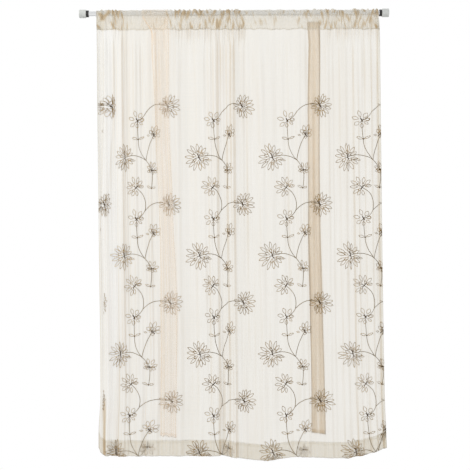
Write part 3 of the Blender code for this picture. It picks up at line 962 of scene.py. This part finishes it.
def streaked(streaks, share, z):
    """Soft lengthwise bands of denser, darker cloth that come and go on their way down: painted crease
    shade; on the right sash the strongest also mark its folded edges.
    """
    total = np.zeros_like(share)
    for place, half_width, strength, beat, phase in streaks:
        offset = (share - place - 0.02 * np.sin(beat * 1.7 * z + phase)) / half_width
        total += strength * (0.55 + 0.45 * np.sin(beat * z + phase)) * np.exp(-offset * offset)
    return total


HEAD_THINNING = 0.60
HEM_PRESSED = 0.5
BODY_COVER = 0.55


def left_pinch(flat, along, z):
    """The head is thin but for creases that run from its top corners to the neck; below the neck the body
    carries bands of painted crease shade.
    """
    x = left_sash_point(flat, along)[0]
    head = smooth((z + 0.066) / 0.018)
    creases = np.zeros_like(x)
    for way, half_width, strength in LEFT_CREASES:
        heights = [point[0] for point in way]
        offset = (x - np.interp(z, heights, [point[1] for point in way])) / half_width
        ends = smooth((z - heights[0]) / 0.02) * smooth((heights[-1] - z) / 0.006) * (along > 0)
        creases += strength * ends * np.exp(-offset * offset)
    # the body's bands are painted crease shade, drawn as denser, darker cloth
    body = BODY_COVER + streaked(LEFT_CREASE_SHADE_BANDS, folded_share(flat, SASH_WIDTH) / SASH_WIDTH, z)
    folded = (flat < 0.0) | (flat > SASH_WIDTH)
    pressed = np.where(folded, HEM_PRESSED, 1.0)
    return (creases + (1.0 - HEAD_THINNING * head) * head + body * (1.0 - head)) * pressed


left_sash = make_sheet("voile_sash_left", sash_columns, left_rows, left_sash_point,
                       pinched=left_pinch)

# %% [markdown]
# ## The right sash
# The same strip, sewn to the back of the pocket and left to hang behind the panel. Its long edges
# are folded in to meet, so it shows through the panel as a band with a darker line down each side.
# The section is a short list of bends with straight cloth between them. Four bends close together
# make each long fold.

# %% Right sash
RIGHT_LEVELS = (
    # height, centre, hanging width, front of the cloth behind the middle plane
    (-0.028, 0.8400, 0.0470, 0.0112),
    (-0.060, 0.8405, 0.0440, 0.0050),
    (-0.110, 0.8430, 0.0410, 0.0054),
    (-0.311, 0.8410, 0.0430, 0.0060),
    (-0.560, 0.8400, 0.0445, 0.0060),
    (-0.796, 0.8400, 0.0450, 0.0060),
    (-1.030, 0.8470, 0.0460, 0.0060),
    (-1.270, 0.8515, 0.0500, 0.0060),
    (-1.5095, 0.8530, 0.0510, 0.0060),
)
RIGHT_FOOT_Z, RIGHT_FOOT_SLANT = -1.5095, -0.14
LAYER_PITCH, LAYERS_TO_FRONT = 0.0016, 1.31
EDGE_INSET = 0.0004
SWAY = 0.0012
END_LAYER = 0.0004
TURNING_GAP, TURNING_SOFTNESS = 0.0036, 0.003
RIGHT_TOP_Z = -0.028
TOP_TURNING = 0.022

FOLD_BENDS = (
    # share of the cut width, side (-1 left, 1 right), turn-ins from the edge, layer
    (0.00, -1, 1.0, -1.0),
    (0.255, -1, 0.0, -0.9),
    (0.263, -1, 0.0, -0.4),
    (0.271, -1, 0.0, 0.3),
    (0.280, -1, 0.02, 0.8),
    (0.720, 1, 0.02, 0.8),
    (0.729, 1, 0.0, 0.5),
    (0.737, 1, 0.0, 0.0),
    (0.745, 1, 0.0, -0.3),
    (1.00, 1, 1.0, -0.4),
)
# The first four bands lie on the folded edges, where layers overlap; the others are painted shade of soft
# creases.
RIGHT_STREAKS = (
    # share across, half width as a share, strength, how often it wavers, phase
    (0.285, 0.034, 2.4, 2.0, 1.2),
    (0.715, 0.034, 2.6, 2.6, 2.6),
    (0.245, 0.030, 2.0, 5.0, 0.2),
    (0.755, 0.030, 2.0, 4.0, 1.6),
    (0.35, 0.030, 0.5, 6.0, 0.3),
    (0.47, 0.040, 0.4, 4.5, 4.4),
    (0.60, 0.030, 0.5, 7.5, 2.0),
    (0.10, 0.030, 0.4, 5.5, 3.3),
    (0.90, 0.030, 0.4, 3.5, 5.0),
)
RIGHT_COVER, DENSER_DOWN = 0.48, 0.30


def right_pinch(flat, along, z):
    """The band grows a little denser on its way down, and its folded edges are dark lines where layers
    overlap; the weaker bands are painted crease shade.
    """
    return RIGHT_COVER - DENSER_DOWN * z + streaked(RIGHT_STREAKS, flat / SASH_WIDTH, z)


def right_sash_point(flat, along):
    share = flat / SASH_WIDTH
    full_drop = RIGHT_TOP_Z - RIGHT_FOOT_Z
    end_up = np.clip(along - full_drop, 0.0, None)
    z = RIGHT_TOP_Z - np.minimum(np.abs(along), full_drop) + end_up
    width = between(RIGHT_LEVELS, z, 2)
    centre = between(RIGHT_LEVELS, z, 1)
    turn_in = (SASH_WIDTH - width) / 2
    side = between(FOLD_BENDS, share, 1)
    inward = between(FOLD_BENDS, share, 2)
    layer = between(FOLD_BENDS, share, 3)
    offset = side * (width / 2 - EDGE_INSET) - np.sign(side) * inward * turn_in
    sway = SWAY * np.sin(9.0 * z + 4.0 * share)
    x = centre + offset + sway
    y = between(RIGHT_LEVELS, z, 3) + LAYER_PITCH * (LAYERS_TO_FRONT + layer) + END_LAYER * (end_up > 0)
    y = y + TURNING_GAP * smooth(-along / TURNING_SOFTNESS)
    z = z + RIGHT_FOOT_SLANT * (x - centre) * (z / RIGHT_FOOT_Z) ** SLANT_POWER
    return x, y, z


right_drop = RIGHT_TOP_Z - RIGHT_FOOT_Z
right_rows = joined_rows(
    (-TOP_TURNING, 0.0, 0.005, 0.003),
    (0.0, right_drop, 0.010, 0.010),
    (right_drop, right_drop + END_HEM, 0.0045, 0.0045),
)
bend_columns = sorted({round(row[0] * SASH_WIDTH, 6) for row in FOLD_BENDS}
                      | {round(value, 6) for value in np.linspace(0.0, SASH_WIDTH, 48)})
right_sash = make_sheet("voile_sash_right", bend_columns, right_rows, right_sash_point,
                        pinched=right_pinch)

# %% [markdown]
# ## The embroidery
# The panel is worked all over with a climbing vine: thin stems, large flowers with many outlined
# petals on either side, smaller ones between, and little nodes with a pair of leaves. It is
# line work in brown thread of three shades. Each line becomes a thin round cord on the cloth.
# Curves with a bevel make such cords. One repeat is described in flat measures, and it is drawn
# again at every step across and down.

# %% Embroidery: one repeat
REPEAT_DROP = 0.3528
FIRST_BRANCH_Z = -0.5265

MOTIFS = {
    # name: right of the axis, above the branch, radius, fans of petals, slant of the dark bar
    # a fan: petals, facing, spread, length and half width as shares of the radius
    "moonflower": (RIGHT_FLOWER, 0.1940, 0.051,
                   ((12, -4.0, 248.0, 1.00, 0.085), (5, -4.0, 190.0, 0.54, 0.075),
                    (4, 180.0, 84.0, 0.84, 0.080)), 128.0),
    "star": (-0.0335, 0.1415, 0.040,
             ((6, 138.0, 256.0, 0.94, 0.140), (2, -12.0, 50.0, 0.85, 0.090)), 122.0),
    "cup": (0.0345, 0.0905, 0.038,
            ((5, 70.0, 140.0, 1.00, 0.145), (2, 70.0, 60.0, 0.62, 0.100),
             (2, 214.0, 120.0, 0.48, 0.140)), -40.0),
    "aster": (LEFT_FLOWER, 0.0095, 0.056,
              ((14, 188.0, 322.0, 1.00, 0.080), (6, 188.0, 270.0, 0.56, 0.070)), 112.0),
    "bud": (0.0280, -0.0365, 0.033,
            ((6, 84.0, 210.0, 0.95, 0.125), (2, 250.0, 80.0, 0.60, 0.110)), 8.0),
    "daisy": (-0.0370, -0.0985, 0.043,
              ((9, 146.0, 262.0, 1.00, 0.105), (3, 146.0, 150.0, 0.56, 0.080)), 40.0),
}
NODES = {
    # name: right of the axis, above the branch
    "upper_node": (-0.0300, 0.0750),
    "lower_node": (0.0250, -0.1000),
    "branch": (0.0, 0.0),
    "fork": (-0.0020, -0.1800),
    "fork_above": (-0.0020, 0.1728),
}
LEAVES = (
    # right of the axis, above the branch, facing, length, half width
    (-0.0300, 0.0750, 166.0, 0.024, 0.0040),
    (-0.0300, 0.0750, 24.0, 0.024, 0.0030),
    (0.0250, -0.1000, 158.0, 0.022, 0.0034),
    (0.0250, -0.1000, 12.0, 0.018, 0.0030),
    (0.0280, -0.0365, 176.0, 0.018, 0.0026),
    (0.0280, -0.0365, 2.0, 0.017, 0.0026),
    (-0.0660, 0.0030, -10.0, 0.026, 0.0030),
    (-0.0280, -0.0950, 18.0, 0.016, 0.0028),
    (0.0150, 0.0880, 170.0, 0.012, 0.0026),
)
STEMS = (
    # from, to, bulge to the left of the way, as a share of the length
    ("moonflower", "fork_above", -0.17),
    ("fork_above", "star", 0.08),
    ("star", "upper_node", -0.02),
    ("upper_node", "branch", -0.10),
    ("cup", "branch", -0.06),
    ("aster", "branch", 0.14),
    ("branch", "bud", 0.03),
    ("bud", "lower_node", 0.04),
    ("daisy", "fork", 0.17),
)
PETAL_THREAD = 0.00073
PETAL_PULL = 0.45
STEM_THREAD = 0.00095
HEART_THREAD = 0.00105
STITCH_STEP = 0.0030
LARGE_FLOWER = 0.045


PETAL_TURNS, PETAL_REACHES = (-4.0, 4.0), (0.92, 1.05)
FAN_TAPER, FAN_POWER = 0.30, 1.6
BAR_TURNS, RAY_TURNS, RAY_REACHES = (-0.2, 0.2), (-9.0, 9.0), (0.16, 0.30)


def toward(angle):
    return np.array([math.cos(angle), math.sin(angle)])


def petal_line(root, angle, length, half_width, start=0.36):
    """A pointed petal: out along one side and back along the other."""
    count = max(5, round(length / STITCH_STEP))
    out = np.linspace(0.0, 1.0, count)
    wide = half_width * np.sin(math.pi * out ** 1.1) ** 0.9
    out = start + (1.0 - start) * out
    right = np.stack([out * length, wide], axis=1)
    left = np.stack([out[-2::-1] * length, -wide[-2::-1]], axis=1)
    line = np.concatenate([right, left])
    turn = np.array([[math.cos(angle), math.sin(angle)], [-math.sin(angle), math.cos(angle)]])
    return line @ turn + root


def flower_lines(root, radius, fans, draw):
    """Fans of petals round an off-centre heart; the outermost petals of a fan are the shortest."""
    lines = []
    for count, facing, spread, length, half_width in fans:
        for index in range(count):
            share = index / (count - 1) - 0.5
            angle = math.radians(facing + spread * share + draw.uniform(*PETAL_TURNS))
            taper = 1.0 - FAN_TAPER * abs(2 * share) ** FAN_POWER
            reach = radius * length * taper * draw.uniform(*PETAL_REACHES)
            lines.append(petal_line(root, angle, reach, half_width * radius + 0.0003))
    return lines


def stem_line(start, end, bulge):
    start, end = np.array(start), np.array(end)
    way = end - start
    length = float(np.hypot(*way))
    aside = np.array([-way[1], way[0]]) * bulge
    share = np.linspace(0.0, 1.0, max(4, round(length / STITCH_STEP)))[:, None]
    return start + way * share + aside * 4 * share * (1 - share)


def heart_lines(root, size, draw):
    """A knot of satin stitches: short bars through one point."""
    lines = []
    for index in range(4):
        bar = toward(math.pi * index / 4 + draw.uniform(*BAR_TURNS)) * size
        lines.append(np.array([root - bar, root + 0 * bar, root + bar]))
    return lines


def ray_lines(root, radius, fans, slant, draw):
    """Dark stitches that run from the heart into the petals, and one bar right through it."""
    bar = toward(math.radians(slant)) * radius
    lines = [root + bar * np.linspace(-0.16, 0.30, 5)[:, None],
             root + bar * np.linspace(-0.12, 0.26, 5)[:, None] + np.array([0.0009, 0.0006])]
    facing, spread = fans[0][1], fans[0][2]
    for index in range(3):
        angle = math.radians(facing + spread * (index / 3 - 0.33) + draw.uniform(*RAY_TURNS))
        ray = toward(angle) * radius * draw.uniform(*RAY_REACHES)
        lines.append(root + ray * np.linspace(0.0, 1.0, 4)[:, None])
    return lines


def repeat_lines(draw):
    """All lines of one repeat: petals of the large and the small flowers, stems, dark stitches."""
    large, small, stems, dark = [], [], [], []
    for right, above, radius, fans, slant in MOTIFS.values():
        root = np.array([right, above])
        petals = large if radius > LARGE_FLOWER else small
        petals += flower_lines(root, radius, fans, draw)
        dark += heart_lines(root, 0.0016 + 0.018 * radius, draw)
        dark += ray_lines(root, radius, fans, slant, draw)
    for name in ("upper_node", "lower_node"):
        dark += heart_lines(np.array(NODES[name]), 0.0022, draw)
    for right, above, facing, length, half_width in LEAVES:
        small.append(petal_line(np.array([right, above]), math.radians(facing), length, half_width, 0.06))
    places = {name: row[:2] for name, row in MOTIFS.items()}
    places.update(NODES)
    for start, end, bulge in STEMS:
        stems.append(stem_line(places[start], places[end], bulge))
    return large, small, stems, dark


print("motifs in a repeat:", len(MOTIFS), "stems:", len(STEMS))

# %% Embroidery: laid on the panel
lowest_along = float(SEAM_Z - FOOT_Z) + HEM_DEPTH - 0.004
FIELD_TOP = 0.215
ROLL_FROM, ROLL_WIDTH = 0.78, 0.045


def inside_runs(line):
    """Cuts a line where it leaves the cloth, or goes into the edge that rolls in lower down."""
    left_limit = np.where(line[:, 1] > ROLL_FROM, ROLL_WIDTH, -SIDE_HEM)
    ok = (
        (line[:, 0] > left_limit) & (line[:, 0] < FLAT_WIDTH + SIDE_HEM)
        & (line[:, 1] > FIELD_TOP) & (line[:, 1] < lowest_along)
    )
    runs, run = [], []
    for point, good in zip(line, ok):
        if good:
            run.append(point)
        elif run:
            runs.append(run)
            run = []
    runs.append(run)
    return [np.array(run) for run in runs if len(run) > 1]


def cords_on_cloth(name, lines, radius, pull=0.0):
    """One mesh of round threads along the lines, made by a bevelled curve. A pull draws each
    second point in, as in running stitches."""
    curve = bpy.data.curves.new(name, "CURVE")
    curve.dimensions = "3D"
    curve.bevel_depth = radius
    curve.bevel_resolution = 0
    curve.use_fill_caps = True
    flat_points = np.concatenate(lines)
    x, y, z = cloth_point(flat_points[:, 0], flat_points[:, 1])
    placed = np.stack([x, y, z, np.ones_like(x)], axis=1)
    start = 0
    for line in lines:
        spline = curve.splines.new("POLY")
        spline.points.add(len(line) - 1)
        spline.points.foreach_set("co", placed[start:start + len(line)].ravel())
        spline.points.foreach_set("radius", 1.0 + pull * (-1.0) ** np.arange(len(line)))
        start += len(line)
    holder = bpy.data.objects.new(name, curve)
    mesh = bpy.data.meshes.new_from_object(holder)
    bpy.data.objects.remove(holder)
    bpy.data.curves.remove(curve)
    mesh.name = name
    piece = place_object(name, mesh)
    mesh.shade_smooth()
    mesh.calc_loop_triangles()
    print(name, "has", len(lines), "lines and", len(mesh.loop_triangles), "triangles")
    return piece


large, small, stems, dark = [], [], [], []
draw = random.Random(21)
for step_across in range(-2, 4):
    for step_down in range(0, 5):
        origin = np.array([axis_flat + step_across * REPEAT_WIDTH,
                           SEAM_Z - FIRST_BRANCH_Z + step_down * REPEAT_DROP])
        for found, kept in zip(repeat_lines(draw), (large, small, stems, dark)):
            for line in found:
                kept += inside_runs(origin + line * np.array([1.0, -1.0]))
large_flowers = cords_on_cloth("embroidery_large_flowers", large, PETAL_THREAD, PETAL_PULL)
small_flowers = cords_on_cloth("embroidery_small_flowers", small, PETAL_THREAD, PETAL_PULL)
vines = cords_on_cloth("embroidery_vines", stems, STEM_THREAD)
knots = cords_on_cloth("embroidery_knots", dark, HEART_THREAD)

# %% [markdown]
# ## Rows of stitches
# The pocket and the hems are sewn with small straight stitches in cream thread. Each stitch is a
# short cord of its own with a gap after it, because a whole line would look like piping.

# %% Stitches
STITCH_LENGTH, STITCH_GAP = 0.0032, 0.0014
SEWING_THREAD = 0.00026


def stitch_row(start, end, to_point):
    """Short lines between two flat distances; to_point gives each its place on the cloth."""
    places = np.arange(start, end, STITCH_LENGTH + STITCH_GAP)
    return [to_point(np.array([place, place + STITCH_LENGTH])) for place in places]


ROW_START, ROW_END = 0.004, FLAT_WIDTH - 0.006
SIDE_ROW_END = SEAM_Z - FOOT_Z - 0.03
FROM_HEM_EDGE = 0.002
INSIDE_HEM_EDGE = 0.003


def across_row(along):
    return stitch_row(ROW_START, ROW_END, lambda s: np.stack([s, np.full_like(s, along)], axis=1))


def hem_row():
    def to_point(s):
        depth = SEAM_Z - foot_z(across_of(s)) - HEM_DEPTH + INSIDE_HEM_EDGE
        return np.stack([s, depth], axis=1)
    return stitch_row(ROW_START, ROW_END, to_point)


def side_row(flat):
    return stitch_row(ROW_START, SIDE_ROW_END, lambda s: np.stack([np.full_like(s, flat), s], axis=1))


sewn_lines = across_row(0.0005) + hem_row()
for edge_flat in (SIDE_HEM - FROM_HEM_EDGE, FLAT_WIDTH - SIDE_HEM + FROM_HEM_EDGE):
    sewn_lines += side_row(edge_flat)
stitches = cords_on_cloth("panel_stitches", sewn_lines, SEWING_THREAD)

# %% [markdown]
# ## The voile
# Voile is a fine open weave of tightly twisted yarn. Light passes between the yarns, so the
# material is a mix of a clear surface and cloth; the `cover` attribute says how much is cloth. A
# square weave and long uneven yarns, called slubs, vary that cover. The cloth itself is part
# diffuse and part translucent, because a thin thread glows when lit from behind.

# %% Voile
def new_material(name):
    material = bpy.data.materials.new(name)
    material.use_nodes = True
    material.node_tree.nodes.clear()
    print("material", name)
    return material, material.node_tree.nodes


def math_node(nodes, operation, first, second):
    return add_node(nodes, "Math", {0: first, 1: second}, operation=operation).outputs[0]


def weighted(nodes, terms, total=0.0):
    """The sum of several sockets, each times its own weight."""
    for socket, weight in terms:
        total = math_node(nodes, "ADD", math_node(nodes, "MULTIPLY", socket, weight), total)
    return total


def noise(nodes, where, stretch, detail):
    place = add_node(nodes, "Mapping", {"Vector": where, "Scale": stretch}).outputs[0]
    grain = add_node(nodes, "TexNoise", {"Vector": place, "Scale": 1.0, "Detail": detail})
    return grain.outputs["Fac"]


def bands(nodes, where, direction, scale, distortion):
    wave = add_node(nodes, "TexWave", {"Vector": where, "Scale": scale, "Distortion": distortion},
                    bands_direction=direction)
    return wave.outputs["Fac"]


def ramp_node(nodes, factor, low, high, start, end):
    """A colour that runs from `low` at `start` to `high` at `end`."""
    ramp = add_node(nodes, "ValToRGB", {"Fac": factor})
    for stop, position, colour in zip(ramp.color_ramp.elements, (start, end), (low, high)):
        stop.position = position
        stop.color = (*colour, 1.0)
    return ramp.outputs["Color"]


def bump_node(nodes, height, strength, distance):
    bump = add_node(nodes, "Bump", {"Height": height, "Strength": strength, "Distance": distance})
    return bump.outputs["Normal"]


YARN_PITCH = 0.0006
LEAST_COVER, MOST_COVER = 0.04, 0.97
GLOW_SHARE = 0.42


def make_voile(name, thin_colour, dense_colour, closing):
    material, nodes = new_material(name)
    measures = add_node(nodes, "UVMap", uv_map="cloth").outputs["UV"]
    cover = add_node(nodes, "Attribute", attribute_name="cover").outputs["Fac"]
    bands_per_metre = 2 * math.pi / (20 * YARN_PITCH)
    weave = math_node(nodes, "MAXIMUM", bands(nodes, measures, "X", bands_per_metre, 0.4),
                      bands(nodes, measures, "Y", bands_per_metre, 0.4))
    amount = weighted(nodes, (
        (noise(nodes, measures, (520.0, 5.0, 1.0), 2.0), 0.55),     # slubs down the cloth
        (noise(nodes, measures, (6.0, 620.0, 1.0), 2.0), 0.22),     # slubs across it
        (noise(nodes, measures, (14.0, 5.0, 1.0), 3.0), 0.16),      # slow clouds
        (weave, 0.20),
    ), closing - 0.60)
    filled = math_node(nodes, "MULTIPLY", cover, amount)
    factor = add_node(nodes, "Clamp", {"Value": filled, "Min": LEAST_COVER, "Max": MOST_COVER})
    colour = ramp_node(nodes, filled, thin_colour, dense_colour, 0.48, 0.87)
    normal = bump_node(nodes, weave, 0.25, 0.0003)
    cloth = add_node(nodes, "BsdfPrincipled", {
        "Base Color": colour, "Normal": normal, "Roughness": 0.72, "Sheen Weight": 0.35,
        "Sheen Roughness": 0.45, "Specular IOR Level": 0.25})
    glow = add_node(nodes, "BsdfTranslucent", {"Color": colour, "Normal": normal})
    threads = add_node(nodes, "MixShader", {
        "Fac": GLOW_SHARE, 1: cloth.outputs[0], 2: glow.outputs[0]})
    clear = add_node(nodes, "BsdfTransparent")
    sheer = add_node(nodes, "MixShader", {
        "Fac": factor.outputs[0], 1: clear.outputs[0], 2: threads.outputs[0]})
    add_node(nodes, "OutputMaterial", {"Surface": sheer.outputs[0]})
    return material


voile = make_voile("ivory_voile", (0.87, 0.82, 0.70), (0.70, 0.56, 0.37), 1.03)
# One sash voile in two colourings: the copy in front is thinner and lighter as painted light, and the
# copy behind is darker, partly as painted shade and partly for its folded layers.
sash_lit_copy = make_voile("sash_lit_in_front", (0.97, 0.81, 0.63), (0.82, 0.58, 0.36), 0.52)
sash_shaded_copy = make_voile("sash_shaded_behind", (0.94, 0.79, 0.59), (0.50, 0.36, 0.22), 1.10)
panel.data.materials.append(voile)
left_sash.data.materials.append(sash_lit_copy)
right_sash.data.materials.append(sash_shaded_copy)

# %% [markdown]
# ## Threads
# Embroidery thread is a soft two-ply yarn with a sheen along its turns. Fine slanting bands give
# the twist: as bumps they are its relief, and in the colour they are painted sheen on the turns and
# painted shade between them. A slow change of colour along the vine stands for thread that takes the
# light differently from place to place.

# %% Threads
THREAD_SHEEN = 0.1


def make_thread(name, dark, light):
    material, nodes = new_material(name)
    where = add_node(nodes, "TexCoord").outputs["Object"]
    twist = bands(nodes, where, "DIAGONAL", 350.0, 1.0)
    patches = noise(nodes, where, (38.0, 38.0, 38.0), 2.0)
    # the twist bands lighten and darken the colour: painted sheen and shade on the turns
    mixed = weighted(nodes, ((patches, 0.75), (twist, 0.25)))
    shader = add_node(nodes, "BsdfPrincipled", {
        "Base Color": ramp_node(nodes, mixed, dark, light, 0.32, 0.72),
        "Normal": bump_node(nodes, twist, 0.4, 0.0002),
        "Roughness": 0.6, "Specular IOR Level": 0.15, "Sheen Weight": THREAD_SHEEN})
    add_node(nodes, "OutputMaterial", {"Surface": shader.outputs[0]})
    return material


brown_thread = make_thread("brown_thread", (0.130, 0.070, 0.004), (0.430, 0.235, 0.012))
stem_thread = make_thread("stem_thread", (0.100, 0.058, 0.008), (0.230, 0.140, 0.025))
dark_thread = make_thread("dark_thread", (0.052, 0.027, 0.007), (0.120, 0.066, 0.016))
cream_thread = make_thread("cream_thread", (0.74, 0.64, 0.48), (0.86, 0.78, 0.62))
for petals in (large_flowers, small_flowers):
    petals.data.materials.append(brown_thread)
vines.data.materials.append(stem_thread)
knots.data.materials.append(dark_thread)
stitches.data.materials.append(cream_thread)

# %% [markdown]
# ## Rod, collars and end caps
# The rod is a bright drawn metal tube, so it has faint lines along its length. The collars are
# black rubber and the caps a pale satin plastic that has gathered a little dust. Their solids
# already have the right shape, so only their finish changes.

# %% Rod finishes
def make_hard(name, low, high, roughness, metallic, stretch):
    material, nodes = new_material(name)
    where = add_node(nodes, "TexCoord").outputs["Object"]
    grain = noise(nodes, where, stretch, 4.0)
    rough = add_node(nodes, "MapRange", {
        "Value": grain, "To Min": roughness[0], "To Max": roughness[1]})
    shader = add_node(nodes, "BsdfPrincipled", {
        "Base Color": ramp_node(nodes, grain, low, high, 0.30, 0.70),
        "Normal": bump_node(nodes, grain, 0.12, 0.0003),
        "Roughness": rough.outputs[0], "Metallic": metallic})
    add_node(nodes, "OutputMaterial", {"Surface": shader.outputs[0]})
    return material


drawn_metal = make_hard("drawn_metal", (0.62, 0.63, 0.64), (0.84, 0.84, 0.84), (0.20, 0.36), 1.0,
                        (6.0, 900.0, 900.0))
black_rubber = make_hard("black_rubber", (0.012, 0.012, 0.012), (0.035, 0.034, 0.033),
                         (0.55, 0.75), 0.0, (300.0, 300.0, 300.0))
pale_plastic = make_hard("pale_plastic", (0.58, 0.60, 0.57), (0.72, 0.73, 0.70), (0.35, 0.50), 0.0,
                         (120.0, 120.0, 120.0))
for material, solids in (
    (drawn_metal, ("rod_tube",)),
    (black_rubber, ("rod_ring_left", "rod_ring_right")),
    (pale_plastic, ("rod_end_left", "rod_end_right")),
):
    for solid in solids:
        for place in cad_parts[solid].material_slots:
            place.material = material

# %% [markdown]
# ## What rides where
# Everything belongs to the one body. The three sheets stand for the solids of the cloth, which
# are hidden.

# %% Ride and replace
for piece, cloth_slot in (
    (panel, "voile"),
    (left_sash, "sash_voile"),
    (right_sash, "sash_voile"),
    (large_flowers, "embroidery_thread"),
    (small_flowers, "embroidery_thread"),
    (vines, "embroidery_thread"),
    (knots, "embroidery_thread"),
    (stitches, "voile"),
):
    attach(piece, "root")
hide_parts("curtain_panel")
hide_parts("tie_left")
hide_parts("tie_right")
print("sheets:", [sheet.name for sheet in (panel, left_sash, right_sash)])
